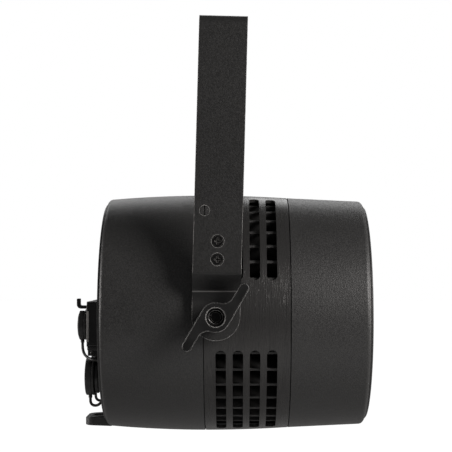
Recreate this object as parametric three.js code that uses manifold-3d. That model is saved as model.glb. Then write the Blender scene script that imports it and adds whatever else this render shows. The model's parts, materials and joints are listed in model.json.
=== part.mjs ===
// A strobe light: a barrel head with a vented middle ring, which tilts in a flat-bar yoke.
// Millimetres. The head is laid out about its tilt axis: +X out of the lamp, +Z up, the axis along Y.
// The whole is then moved so that the origin is at the clamp hole, on top of the yoke.
import * as THREE from "three";
import { mergeVertices } from "three/addons/utils/BufferGeometryUtils.js";
import Module from "manifold-3d";

const wasm = await Module();
wasm.setup();

// Clearances and finish of the model
const fitGap = 0.3;
const overrun = 2;
const joinDepth = 0.5;
const weldDistance = 0.001;
const largeSides = 40;
const mediumSides = 20;
const smallSides = 10;
const screwSides = 6;
const outlineSteps = 6;
const cornerSteps = 3;
const rearSteps = 4;
const ringSteps = 2;
const bossSteps = 8;
const rimSteps = 2;
const bowlSteps = 6;
const sealSides = 8;
const bendSteps = 5;
const tabRoundSteps = 12;
const handleSteps = 4;

// Barrel
const barrelRadius = 105.6;
const rearRimDrop = 3.9;
const frontSeamDrop = 2.4;
const frontRimDrop = 5.6;
const pivotSetback = 10.5;
const rearLength = 87.5;
const ringLength = 72.8;
const frontLength = 67.3;
const rimFillet = 4;
const shellWall = 2.8;
const seamGap = 0.4;
const spigotLength = 5;
const spigotWall = 3;
const bulkheadThickness = 3;

// Vents: four groups of slots round the middle ring
const slotGroups = 4;
const slotsPerGroup = 4;
const slotWidth = 8.7;
const slotPitch = 14.3;
const slotSpanDegrees = 58.2;
const slotCornerRadius = 4.1;
const slotRearOffset = 0.7;

// Heat sink
const finCount = 40;
const finTipGap = 0.6;
const finThickness = 2.6;
const finCoreRadius = 45;
const sinkBaseThickness = 6;
const sinkTailRadius = 20;
const sinkRearClearance = 1.5;
const wireHoleRadius = 7;

// Front: LED engine, reflector, window and bezel
const windowInset = 17.5;
const glassMargin = 4.5;
const glassThickness = 4;
const glassGasketThickness = 1.8;
const glassSeatDepth = 10.2;
const glassLandDepth = 4;
const bezelFlangeThickness = 1.9;
const bezelFlangeInset = 4.6;
const bezelChamfer = 0.7;
const ledBoardRadius = 40;
const ledBoardThickness = 1.6;
const ledEmitterSide = 34;
const ledEmitterThickness = 1.8;
const damShare = 0.85;
const ledBulkheadBore = 44;
const reflectorNeckRadius = 22;
const reflectorMouthInset = 19;
const reflectorFlangeInset = 7;
const reflectorWall = 1.2;
const reflectorNeckGap = 0.6;
const sealRadius = 70;
const sealSectionRadius = 1.1;

// Rear: panel, display, buttons and gasket
const panelRimHeight = 1.7;
const panelRecess = 3;
const panelThickness = 3.5;
const panelRecessInset = 14.2;
const panelRimDraft = 1;
const panelFlangeInset = 4.3;
const panelMouthInset = 6.7;
const panelLandInset = 19.2;
const panelLandDepth = 4;
const panelGasketThickness = 1.4;
const panelGasketWidth = 4.5;
const displayHeight = 46;
const displayWidth = 46;
const displayTall = 20;
const displayThickness = 1.8;
const displayProud = 0.5;
const displayLedge = 2;
const buttonCount = 4;
const buttonRadius = 4.2;
const buttonPitch = 15;
const buttonHeight = 24;
const buttonProud = 1.6;
const buttonTravel = 0.8;
const buttonFlangeRadius = 5.8;
const buttonFlangeThickness = 1;
const boardWidth = 70;
const boardBottom = 12;
const boardTop = 60;
const boardThickness = 1.6;
const boardPostRadius = 3;
const boardPostLength = 4.4;
const boardPostInset = 4.5;
const supplyWidth = 110;
const supplyTall = 68;
const supplyDepth = 36;
const supplyRim = 3;
const breatherRadius = 7;
const breatherProud = 2.6;
const breatherStemRadius = 4.5;
const breatherInset = 25.5;
const breatherHeight = 4;

// Rear connectors, in two columns
const columnOffset = 22;
const signalHeight = -11;
const powerHeight = -56.2;
const connectorWidth = 31;
const signalDepth = 18;
const signalAbove = 21.4;
const signalBelow = 18.5;
const signalLedge = 8;
const signalLedgeWidth = 26;
const signalLedgeSetback = 1.6;
const signalCollarRadius = 12.2;
const signalCollarLength = 0.6;
const signalSocketRadius = 9.6;
const powerFlangeThickness = 3.8;
const powerBarrelRadius = 15;
const powerDepth = 11.3;
const powerSocketRadius = 11.6;
const tailRadius = 11;
const tailLength = 12;
const blockCorner = 1.5;

// Sealing caps, tethers and the latch lever
const signalCapRadius = 13;
const signalCapThickness = 8.5;
const powerCapRadius = 16.7;
const powerCapThickness = 8.8;
const capDome = 1;
const capEdge = 2.4;
const bungLength = 9;
const bungEndGap = 0.6;
const capLugLength = 2.6;
const capLugRadius = 1.7;
const tetherRadius = 1.25;
const tetherSides = 8;
const tetherSteps = 11;
const anchorRadius = 2.6;
const anchorHeight = 1.5;
const leverThickness = 2.8;
const leverWidth = 9;
const leverReach = 10;
const leverRise = 6.1;
const leverRoot = 8;
const leverHeight = 16.2;
const leverSlotBelow = 1.2;
const leverSlotAbove = 0.6;

// Safety eye, cast on the rear housing
const eyeReach = 20;
const eyeRoot = 4;
const eyeThickness = 8;
const eyeWidth = 38;
const eyeCorner = 7;
const eyeHoleInset = 6;
const eyeHoleLength = 11;
const eyeHoleWidth = 17;
const eyeHoleCorner = 4;
const eyeTopInset = 9.4;

// Yoke
const strapWidth = 40;
const strapThickness = 4;
const strapHeadroom = 142.4;
const strapClearance = 18.4;
const strapBendRadius = 8;
const joggleDepth = 11;
const joggleTop = 35.2;
const joggleBottom = 21.2;
const yokeLeanDegrees = 1.5;
const clampHoleRadius = 6.5;
const sideHoleRadius = 5.5;
const sideHoleOffset = 50;
const armScrewHeights = [47, 61.8];
const armScrewHeadRadius = 5.1;
const armScrewRadius = 2.5;
const armScrewHeadDepth = 2.6;
const armPlateThickness = 3;
const armPlateWidth = 24;
const armPlateMargin = 9;
const armPlateCorner = 4;
const plugScrewHeight = 86.6;
const plugScrewSetback = 11.4;
const plugScrewRadius = 4.2;
const slotDepth = 1;
const slotThickness = 1.2;

// Pivots and clamp handles
const pivotBossRadius = 18;
const washerThickness = 0.8;
const washerRadius = 17;
const studRadius = 5;
const studRecess = 9;
const lugRadius = 9;
const handleThickness = 7;
const handleStrapClearance = 1.5;
const handleHubRadius = 12.4;
const handleArmWidth = 8.4;
const handleArmReach = 32;
const handleArmDegrees = 60;
const handleFillet = 9;
const handleBevel = 0.6;
const handleCollarRadius = 10.4;
const handleBoreRadius = 5.4;
const handleChamferRadius = 8.7;
const handleChamferDepth = 2.6;

// Small screws
const panelScrewRadius = 1.5;
const panelScrewHeadRadius = 2.8;
const panelScrewHeadHeight = 2.2;
const panelScrewLength = 12;
const panelDriveShare = 0.8;
const bezelScrewRadius = 1.5;
const bezelScrewHeadRadius = 2.9;
const bezelScrewLength = 9;
const cornerScrews = 4;

// Radii of the barrel and of what sits in its ends
const rearRimRadius = barrelRadius - rearRimDrop;
const frontSeamRadius = barrelRadius - frontSeamDrop;
const frontRimRadius = barrelRadius - frontRimDrop;
const windowRadius = frontRimRadius - windowInset;
const bezelFlangeRadius = frontRimRadius - bezelFlangeInset;
const reflectorMouthRadius = frontRimRadius - reflectorMouthInset;
const reflectorFlangeRadius = frontRimRadius - reflectorFlangeInset;
const panelRecessRadius = rearRimRadius - panelRecessInset;
const panelFlangeRadius = rearRimRadius - panelFlangeInset;
const panelMouthRadius = rearRimRadius - panelMouthInset;
const panelLandRadius = rearRimRadius - panelLandInset;
const breatherSide = panelRecessRadius - breatherInset;
const eyeTop = -(rearRimRadius - eyeTopInset);

// Stations along the barrel
const rearSeamX = -pivotSetback;
const frontSeamX = rearSeamX + ringLength;
const rearFaceX = rearSeamX - rearLength;
const frontFaceX = frontSeamX + frontLength;
const bulkheadFrontX = rearSeamX - seamGap - spigotWall / 2;
const bulkheadRearX = bulkheadFrontX - bulkheadThickness;
const ledBulkheadRearX = frontSeamX + seamGap / 2;
const ledBulkheadFrontX = ledBulkheadRearX + bulkheadThickness;
const sinkFrontX = ledBulkheadRearX - fitGap;
const sinkBaseRearX = sinkFrontX - sinkBaseThickness;
const finRearX = rearSeamX + spigotLength + sinkRearClearance;
const glassLandX = frontFaceX - glassSeatDepth;
const glassRearX = glassLandX + glassGasketThickness + 2 * fitGap;
const glassFrontX = glassRearX + glassThickness;
const bezelFaceX = frontFaceX + bezelFlangeThickness;
const panelRimX = rearFaceX - panelRimHeight;
const panelFaceX = panelRimX + panelRecess;
const panelBackX = panelFaceX + panelThickness;
const panelLandX = panelBackX + panelGasketThickness + 2 * fitGap;
const panelLandFrontX = panelLandX + panelLandDepth;
const glassLandRearX = glassLandX - glassLandDepth;

// Yoke round the barrel, as distances from the tilt axis and the middle plane
const strapHeight = barrelRadius + strapHeadroom;
const strapOuterHalf = barrelRadius + strapClearance;
const tabOuterHalf = strapOuterHalf - joggleDepth;
const tabInnerHalf = tabOuterHalf - strapThickness;
const washerInnerHalf = tabInnerHalf - fitGap - washerThickness;
const bossOuterHalf = washerInnerHalf - fitGap;
const handleInnerHalf = strapOuterHalf + handleStrapClearance;
const handleOuterHalf = handleInnerHalf + handleThickness;
const studOuterHalf = handleOuterHalf - studRecess;

// Radius of the barrel's outer surface at a station along X.
function radiusAt(x) {
  if (x < rearSeamX) {
    const rearShare = (rearSeamX - x) / rearLength;
    return barrelRadius - (barrelRadius - rearRimRadius) * rearShare ** 2;
  }
  if (x < frontSeamX) {
    const ringShare = (x - rearSeamX) / ringLength;
    return barrelRadius - (barrelRadius - frontSeamRadius) * ringShare ** 2;
  }
  const frontShare = (x - frontSeamX) / frontLength;
  return frontSeamRadius - (frontSeamRadius - frontRimRadius) * frontShare;
}

const rearSpigotRadius = radiusAt(rearSeamX + spigotLength) - shellWall - fitGap;
const frontSpigotRadius = frontSeamRadius - shellWall - fitGap;
const sinkBaseRadius = frontSpigotRadius - spigotWall - fitGap;
const finTipRadius = frontSeamRadius - shellWall - finTipGap;
const glassRadius = windowRadius + glassMargin;
const glassMouthRadius = glassRadius + 2 * fitGap;
const panelScrewCircle = (panelRecessRadius + panelRimDraft + panelMouthRadius - fitGap) / 2;
const bezelScrewCircle = (glassMouthRadius + bezelFlangeRadius) / 2;

// A closed surface as a solid that can be cut and joined. Its faces are turned to point outwards.
function toSolid(geometry) {
  const loose = geometry.index ? geometry.toNonIndexed() : geometry;
  const bare = new THREE.BufferGeometry();
  bare.setAttribute("position", loose.getAttribute("position"));
  const welded = mergeVertices(bare, weldDistance);
  const places = welded.getAttribute("position");
  const corners = welded.index.array;
  const [a, b, c] = [new THREE.Vector3(), new THREE.Vector3(), new THREE.Vector3()];
  const kept = [];
  let volume = 0;
  for (let i = 0; i < corners.length; i += 3) {
    const [p, q, r] = [corners[i], corners[i + 1], corners[i + 2]];
    if (p === q || q === r || r === p) continue;
    kept.push([p, q, r]);
    a.fromBufferAttribute(places, p);
    b.fromBufferAttribute(places, q);
    c.fromBufferAttribute(places, r);
    volume += a.dot(b.cross(c));
  }
  const outward = volume < 0 ? kept.map(([p, q, r]) => [p, r, q]) : kept;
  const triVerts = new Uint32Array(outward.flat());
  return new wasm.Manifold(new wasm.Mesh({ numProp: 3, vertProperties: places.array, triVerts }));
}

function toGeometry(solid) {
  const mesh = solid.getMesh();
  const geometry = new THREE.BufferGeometry();
  geometry.setAttribute("position", new THREE.BufferAttribute(mesh.vertProperties, 3));
  geometry.setIndex(new THREE.BufferAttribute(mesh.triVerts, 1));
  geometry.computeVertexNormals();
  return geometry;
}

function joined(...geometries) {
  return toGeometry(geometries.map(toSolid).reduce((whole, next) => whole.add(next)));
}

function cut(base, ...tools) {
  return toGeometry(tools.reduce((rest, tool) => rest.subtract(toSolid(tool)), toSolid(base)));
}

function shared(base, mask) {
  return toGeometry(toSolid(base).intersect(toSolid(mask)));
}

// Revolves a profile of [radius, x] points about the X axis. A profile off the axis closes on itself.
function turned(profile, sides = largeSides) {
  const points = profile.map(([radius, x]) => new THREE.Vector2(radius, x));
  const first = points[0];
  const last = points[points.length - 1];
  if (first.x > 0 || last.x > 0) points.push(first.clone());
  return new THREE.LatheGeometry(points, sides).rotateZ(-Math.PI / 2);
}

// Round bars along each axis, between two stations.
function rodX(radius, from, to, y = 0, z = 0, sides = smallSides) {
  const bar = new THREE.CylinderGeometry(radius, radius, to - from, sides);
  return bar.rotateZ(-Math.PI / 2).translate((from + to) / 2, y, z);
}

function rodY(radius, from, to, x = 0, z = 0, sides = smallSides) {
  const bar = new THREE.CylinderGeometry(radius, radius, to - from, sides);
  return bar.translate(x, (from + to) / 2, z);
}

function rodZ(radius, from, to, x = 0, y = 0, sides = smallSides) {
  const bar = new THREE.CylinderGeometry(radius, radius, to - from, sides);
  return bar.rotateX(Math.PI / 2).translate(x, y, (from + to) / 2);
}

// A box between two stations on each axis.
function block([x0, x1], [y0, y1], [z0, z1]) {
  const box = new THREE.BoxGeometry(x1 - x0, y1 - y0, z1 - z0);
  return box.translate((x0 + x1) / 2, (y0 + y1) / 2, (z0 + z1) / 2);
}

// Extrudes an outline drawn in Y and Z along X.
function slabX(outline, from, to, curveSegments = outlineSteps) {
  const slab = new THREE.ExtrudeGeometry(outline, { depth: to - from, bevelEnabled: false, curveSegments });
  const [x, y, z] = [new THREE.Vector3(1, 0, 0), new THREE.Vector3(0, 1, 0), new THREE.Vector3(0, 0, 1)];
  return slab.applyMatrix4(new THREE.Matrix4().makeBasis(y, z, x)).translate(from, 0, 0);
}

// Extrudes an outline drawn in X and Z along Y.
function slabY(outline, from, to, curveSegments = outlineSteps) {
  const slab = new THREE.ExtrudeGeometry(outline, { depth: to - from, bevelEnabled: false, curveSegments });
  return slab.rotateX(Math.PI / 2).translate(0, to, 0);
}

// Extrudes an outline drawn in X and Y along Z.
function slabZ(outline, from, to, curveSegments = outlineSteps) {
  const slab = new THREE.ExtrudeGeometry(outline, { depth: to - from, bevelEnabled: false, curveSegments });
  return slab.translate(0, 0, from);
}

// A rectangle with round corners, as an outline.
function roundedRectangle([u0, u1], [v0, v1], radius) {
  const outline = new THREE.Shape();
  outline.moveTo(u0 + radius, v0);
  outline.lineTo(u1 - radius, v0);
  outline.absarc(u1 - radius, v0 + radius, radius, -Math.PI / 2, 0, false);
  outline.lineTo(u1, v1 - radius);
  outline.absarc(u1 - radius, v1 - radius, radius, 0, Math.PI / 2, false);
  outline.lineTo(u0 + radius, v1);
  outline.absarc(u0 + radius, v1 - radius, radius, Math.PI / 2, Math.PI, false);
  outline.lineTo(u0, v0 + radius);
  outline.absarc(u0 + radius, v0 + radius, radius, Math.PI, 1.5 * Math.PI, false);
  return outline;
}

// Points of the barrel's outer line between two stations, moved inwards by an inset.
function barrelLine(from, to, steps, inset = 0) {
  return Array.from({ length: steps + 1 }, (_, i) => {
    const x = from + ((to - from) * i) / steps;
    return [radiusAt(x) - inset, x];
  });
}

// Points of a rounded rim. The side is +1 for a rim that faces forward, -1 for one that faces back.
function rimCorner(faceX, side, radius, steps = rimSteps) {
  const centreX = faceX - side * radius;
  const centreRadius = radiusAt(centreX) - radius;
  return Array.from({ length: steps + 1 }, (_, i) => {
    const angle = (i / steps) * (Math.PI / 2);
    return [centreRadius + radius * Math.cos(angle), centreX + side * radius * Math.sin(angle)];
  });
}

const group = new THREE.Group();
const yoke = new THREE.Group();
const head = new THREE.Group();
group.add(yoke, head);

// Finishes
const paint = { color: 0x2f2e2d, roughness: 0.55, metalness: 0.1 };
const brushed = { color: 0x33312f, roughness: 0.4, metalness: 0.6 };
const blackSteel = { color: 0x242424, roughness: 0.35, metalness: 0.8 };
const zinc = { color: 0xb8b8b4, roughness: 0.35, metalness: 0.9 };
const castAluminium = { color: 0x2b2b2b, roughness: 0.5, metalness: 0.5 };
const rubber = { color: 0x1a1a1a, roughness: 0.8, metalness: 0 };
const plastic = { color: 0x1c1c1d, roughness: 0.45, metalness: 0 };
const glass = { color: 0xdfe6e6, roughness: 0.05, metalness: 0 };
const mirror = { color: 0xd9d9d9, roughness: 0.15, metalness: 1 };
const ceramic = { color: 0xe9e2b0, roughness: 0.6, metalness: 0 };
const circuit = { color: 0x1d4a2c, roughness: 0.6, metalness: 0 };

function place(parent, name, geometry, finish) {
  const mesh = new THREE.Mesh(toGeometry(toSolid(geometry)), new THREE.MeshStandardMaterial(finish));
  mesh.name = name;
  parent.add(mesh);
  return mesh;
}

// The two sides of the head: the right one is at -Y, seen from behind the lamp.
const sides = [
  { name: "right", sign: -1 },
  { name: "left", sign: 1 },
];

// Puts a piece that is modelled along its own -Y axis on one side, at a distance from the middle plane.
function onSide(mesh, side, x, half, z) {
  mesh.position.set(x, side.sign * half, z);
  mesh.rotation.z = side.sign > 0 ? Math.PI : 0;
}

// Stations on one side between two distances from the middle plane, lowest first.
function spanY(side, inner, outer) {
  return side.sign > 0 ? [inner, outer] : [-outer, -inner];
}

// Corner places on a circle, for screws.
function cornerPlaces(radius) {
  return Array.from({ length: cornerScrews }, (_, i) => {
    const angle = ((i + 0.5) / cornerScrews) * 2 * Math.PI;
    return { y: radius * Math.cos(angle), z: radius * Math.sin(angle) };
  });
}

const panelScrewPlaces = cornerPlaces(panelScrewCircle);
const bezelScrewPlaces = cornerPlaces(bezelScrewCircle);
const columns = sides.map((side) => side.sign * columnOffset);

// Rear housing: a cup open to the rear, with a bulkhead and a spigot that centres the ring.
function safetyEye(grow = 0) {
  const tip = rearFaceX - eyeReach - grow;
  const half = eyeWidth / 2 + grow;
  const outline = new THREE.Shape();
  outline.moveTo(rearFaceX + eyeRoot + grow, half);
  outline.lineTo(tip + eyeCorner, half);
  outline.absarc(tip + eyeCorner, half - eyeCorner, eyeCorner, Math.PI / 2, Math.PI, false);
  outline.absarc(tip + eyeCorner, eyeCorner - half, eyeCorner, Math.PI, 1.5 * Math.PI, false);
  outline.lineTo(rearFaceX + eyeRoot + grow, -half);
  return slabZ(outline, eyeTop - eyeThickness - grow, eyeTop + grow, cornerSteps);
}

function rearHousing() {
  const wallX = bulkheadRearX;
  const shell = turned([
    ...barrelLine(rearSeamX - seamGap / 2, rearFaceX + rimFillet, rearSteps).slice(0, -1),
    ...rimCorner(rearFaceX, -1, rimFillet),
    [panelMouthRadius, rearFaceX],
    [panelMouthRadius, panelLandX],
    [panelLandRadius, panelLandX],
    [panelLandRadius, panelLandFrontX],
    ...barrelLine(panelLandFrontX, wallX, 1, shellWall),
    [wireHoleRadius + fitGap, wallX],
    [wireHoleRadius + fitGap, bulkheadFrontX],
    [rearSpigotRadius - spigotWall, bulkheadFrontX],
    [rearSpigotRadius - spigotWall, rearSeamX + spigotLength],
    [rearSpigotRadius, rearSeamX + spigotLength],
    [rearSpigotRadius, rearSeamX - seamGap / 2],
  ]);
  const eyeHoleFrom = rearFaceX - eyeReach + eyeHoleInset;
  const eyeHoleHalf = eyeHoleWidth / 2;
  const eyeHole = slabZ(
    roundedRectangle([eyeHoleFrom, eyeHoleFrom + eyeHoleLength], [-eyeHoleHalf, eyeHoleHalf], eyeHoleCorner),
    eyeTop - eyeThickness - overrun,
    eyeTop + overrun,
    cornerSteps,
  );
  const screwHoles = panelScrewPlaces.map(({ y, z }) =>
    rodX(panelScrewRadius + fitGap, panelLandX - overrun, panelLandFrontX + overrun, y, z, screwSides),
  );
  const lugRoom = rodY(lugRadius + fitGap, -barrelRadius, barrelRadius, 0, 0, smallSides);
  return cut(joined(shell, safetyEye()), eyeHole, lugRoom, ...screwHoles);
}

place(head, "rear_housing", rearHousing(), paint);

// Middle ring: a sleeve with vent slots and an inner lug for each pivot stud.
function ventCutter() {
  const inner = finTipRadius;
  const outer = barrelRadius + overrun;
  const half = THREE.MathUtils.degToRad(slotSpanDegrees / 2);
  const cornerAngle = slotCornerRadius / barrelRadius;
  const sector = (angle, width) => {
    const outline = new THREE.Shape();
    outline.absarc(0, 0, outer, -angle, angle, false);
    outline.absarc(0, 0, inner, angle, -angle, true);
    return slabX(outline, -width / 2, width / 2, smallSides / 2);
  };
  const cornerX = slotWidth / 2 - slotCornerRadius;
  const corners = [-1, 1].flatMap((end) =>
    [-1, 1].map((side) =>
      rodY(slotCornerRadius, inner, outer, side * cornerX, 0, screwSides)
        .rotateX(end * (half - cornerAngle)),
    ),
  );
  return joined(sector(half - cornerAngle, slotWidth), sector(half, 2 * cornerX), ...corners);
}

function ventedRing() {
  const from = rearSeamX + seamGap / 2;
  const to = frontSeamX - seamGap / 2;
  const sleeve = turned([...barrelLine(from, to, ringSteps), ...barrelLine(to, from, 1, shellWall)]);
  const lugs = sides.map((side) => {
    const [y0, y1] = spanY(side, finTipRadius + fitGap, barrelRadius - shellWall + joinDepth);
    return rodY(lugRadius, y0, y1);
  });
  const studHole = rodY(studRadius + fitGap, -barrelRadius - overrun, barrelRadius + overrun);
  const slot = ventCutter();
  const vents = [];
  for (let g = 0; g < slotGroups; g += 1) {
    for (let s = 0; s < slotsPerGroup; s += 1) {
      const x = (rearSeamX + frontSeamX) / 2 - slotRearOffset + (s - (slotsPerGroup - 1) / 2) * slotPitch;
      vents.push(slot.clone().rotateX(((g + 0.5) / slotGroups) * 2 * Math.PI).translate(x, 0, 0));
    }
  }
  return cut(joined(sleeve, ...lugs), studHole, ...vents);
}

place(head, "vented_ring", ventedRing(), brushed);

// Front housing: open to the front, with a land for the glass and a bulkhead round the LED board.
function frontHousing() {
  const seam = frontSeamX + seamGap / 2;
  const spigotEnd = frontSeamX - spigotLength;
  const shell = turned([
    [frontSpigotRadius, seam],
    ...barrelLine(seam, frontFaceX - rimFillet, 1).slice(0, -1),
    ...rimCorner(frontFaceX, 1, rimFillet),
    [glassMouthRadius, frontFaceX],
    [glassMouthRadius, glassLandX],
    [windowRadius, glassLandX],
    [windowRadius, glassLandRearX],
    ...barrelLine(glassLandRearX, ledBulkheadFrontX, 1, shellWall),
    [ledBulkheadBore, ledBulkheadFrontX],
    [ledBulkheadBore, ledBulkheadRearX],
    [frontSpigotRadius - spigotWall, ledBulkheadRearX],
    [frontSpigotRadius - spigotWall, spigotEnd],
    [frontSpigotRadius, spigotEnd],
  ]);
  const holeDepth = bezelScrewLength + fitGap;
  const screwHoles = bezelScrewPlaces.map(({ y, z }) =>
    rodX(bezelScrewRadius + fitGap, bezelFaceX - holeDepth, frontFaceX + overrun, y, z, screwSides),
  );
  return cut(shell, ...screwHoles);
}

place(head, "front_housing", frontHousing(), paint);

// Bezel: its flange lies on the front face, and its lip holds the glass.
function frontBezel() {
  const lip = glassMouthRadius - fitGap;
  const shell = turned([
    [windowRadius + bezelChamfer, bezelFaceX],
    [bezelFlangeRadius - bezelChamfer, bezelFaceX],
    [bezelFlangeRadius, bezelFaceX - bezelChamfer],
    [bezelFlangeRadius, frontFaceX + fitGap],
    [lip, frontFaceX + fitGap],
    [lip, glassFrontX + fitGap],
    [windowRadius, glassFrontX + fitGap],
    [windowRadius, bezelFaceX - bezelChamfer],
  ]);
  const sinks = bezelScrewPlaces.map(({ y, z }) =>
    bezelScrewBody(fitGap).translate(bezelFaceX, y, z),
  );
  return cut(shell, ...sinks);
}

// A countersunk screw with its head's face at x = 0 and its shank towards -X.
function bezelScrewBody(grow = 0) {
  const head = bezelScrewHeadRadius + grow;
  const shank = bezelScrewRadius + grow;
  const cone = head - shank;
  return turned(
    [
      [0, grow],
      [head, grow],
      [head, 0],
      [shank, -cone],
      [shank, -bezelScrewLength],
      [0, -bezelScrewLength],
    ],
    screwSides,
  );
}

place(head, "front_bezel", frontBezel(), paint);
bezelScrewPlaces.forEach(({ y, z }, i) => {
  const drive = rodX(bezelScrewRadius * 0.8, -slotDepth, overrun, 0, 0, 6);
  const body = cut(bezelScrewBody(), drive);
  place(head, `bezel_screw_${i + 1}`, body, blackSteel).position.set(bezelFaceX - fitGap, y, z);
});

const pane = [
  [0, glassRearX],
  [glassRadius, glassRearX],
  [glassRadius, glassFrontX],
  [0, glassFrontX],
];
place(head, "front_glass", turned(pane, mediumSides), glass);

// Flat rings and round seals
function washer(inner, outer, from, to, sides = mediumSides) {
  return turned([[inner, from], [outer, from], [outer, to], [inner, to]], sides);
}

const glassGasketX = glassLandX + fitGap;
place(
  head,
  "glass_gasket",
  washer(windowRadius + fitGap, glassRadius, glassGasketX, glassGasketX + glassGasketThickness),
  rubber,
);

// Reflector: a parabolic bowl with a flange behind the glass land
function reflector() {
  const neckX = sinkFrontX + fitGap + ledBoardThickness + fitGap + ledEmitterThickness + reflectorNeckGap;
  const mouthX = glassLandRearX - fitGap;
  const bowl = Array.from({ length: bowlSteps + 1 }, (_, i) => {
    const radius = reflectorNeckRadius + ((reflectorMouthRadius - reflectorNeckRadius) * i) / bowlSteps;
    const depthShare =
      (radius ** 2 - reflectorNeckRadius ** 2) / (reflectorMouthRadius ** 2 - reflectorNeckRadius ** 2);
    return [radius, neckX + (mouthX - neckX) * depthShare];
  });
  const back = bowl.map(([radius, x]) => [radius + reflectorWall, x]).reverse();
  back[0][1] = mouthX - reflectorWall;
  back[0][0] = reflectorMouthRadius + reflectorWall;
  return turned(
    [...bowl, [reflectorFlangeRadius, mouthX], [reflectorFlangeRadius, mouthX - reflectorWall], ...back],
    mediumSides,
  );
}

place(head, "reflector", reflector(), mirror);

const ledBoardX = sinkFrontX + fitGap;
place(
  head,
  "led_board",
  rodX(ledBoardRadius, ledBoardX, ledBoardX + ledBoardThickness, 0, 0, mediumSides),
  circuit,
);

function ledEmitter() {
  const half = ledEmitterSide / 2;
  const from = ledBoardX + ledBoardThickness + fitGap;
  const plateX = from + ledEmitterThickness / 2;
  const plate = block([from, plateX], [-half, half], [-half, half]);
  const dam = rodX(half * damShare, plateX - joinDepth, from + ledEmitterThickness, 0, 0, mediumSides);
  return joined(plate, dam);
}

place(head, "led_emitter", ledEmitter(), ceramic);

// Heat sink: radial fins round a core, a base against the LED bulkhead, and a tail for the wires
function finOutline() {
  const outline = new THREE.Shape();
  const half = finThickness / 2;
  const rootLength = Math.sqrt(finCoreRadius ** 2 - half ** 2);
  const tipLength = Math.sqrt(finTipRadius ** 2 - half ** 2);
  for (let i = 0; i < finCount; i += 1) {
    const angle = (i / finCount) * 2 * Math.PI;
    const [c, s] = [Math.cos(angle), Math.sin(angle)];
    const at = (along, across) => [along * c - across * s, along * s + across * c];
    if (i === 0) outline.moveTo(...at(rootLength, -half));
    else outline.lineTo(...at(rootLength, -half));
    outline.lineTo(...at(tipLength, -half));
    outline.lineTo(...at(tipLength, half));
    outline.lineTo(...at(rootLength, half));
  }
  outline.closePath();
  return outline;
}

function heatSink() {
  const grooveHalf = sealSectionRadius + fitGap;
  const grooveX = sinkFrontX - 2 * sealSectionRadius;
  const core = turned([
    [wireHoleRadius, sinkFrontX],
    [sealRadius - grooveHalf, sinkFrontX],
    [sealRadius - grooveHalf, grooveX],
    [sealRadius + grooveHalf, grooveX],
    [sealRadius + grooveHalf, sinkFrontX],
    [sinkBaseRadius, sinkFrontX],
    [sinkBaseRadius, sinkBaseRearX],
    [sinkTailRadius, sinkBaseRearX],
    [sinkTailRadius, bulkheadFrontX + fitGap],
    [wireHoleRadius, bulkheadFrontX + fitGap],
  ], finCount);
  const fins = slabX(finOutline(), finRearX, sinkBaseRearX + joinDepth);
  const bore = rodX(wireHoleRadius, finRearX - overrun, sinkFrontX + overrun, 0, 0, finCount);
  return joined(cut(fins, bore), core);
}

place(head, "heat_sink", heatSink(), castAluminium);

function sealRing() {
  const centreX = sinkFrontX - sealSectionRadius + fitGap / 2;
  const section = Array.from({ length: sealSides }, (_, i) => {
    const angle = (i / sealSides) * 2 * Math.PI;
    const radius = sealSectionRadius - fitGap / 2;
    return [sealRadius + radius * Math.cos(angle), centreX + radius * Math.sin(angle)];
  });
  return turned(section, finCount);
}

place(head, "base_seal", sealRing(), rubber);

// Rear panel: recessed inside a raised rim, with holes for all that it carries
const displayFloorX = panelFaceX + displayThickness - displayProud + fitGap;
const firstButton = -((buttonCount - 1) * buttonPitch) / 2;
const buttonPlaces = Array.from({ length: buttonCount }, (_, i) => firstButton + i * buttonPitch);
const tetherAnchors = columns.flatMap((y) => [
  {
    y: Math.sign(y) * (Math.abs(y) + connectorWidth / 2 + anchorRadius + fitGap),
    z: powerHeight + connectorWidth / 2,
  },
  { y, z: powerHeight - connectorWidth / 2 - anchorRadius - 2 * fitGap - capLugLength },
]);

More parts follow.
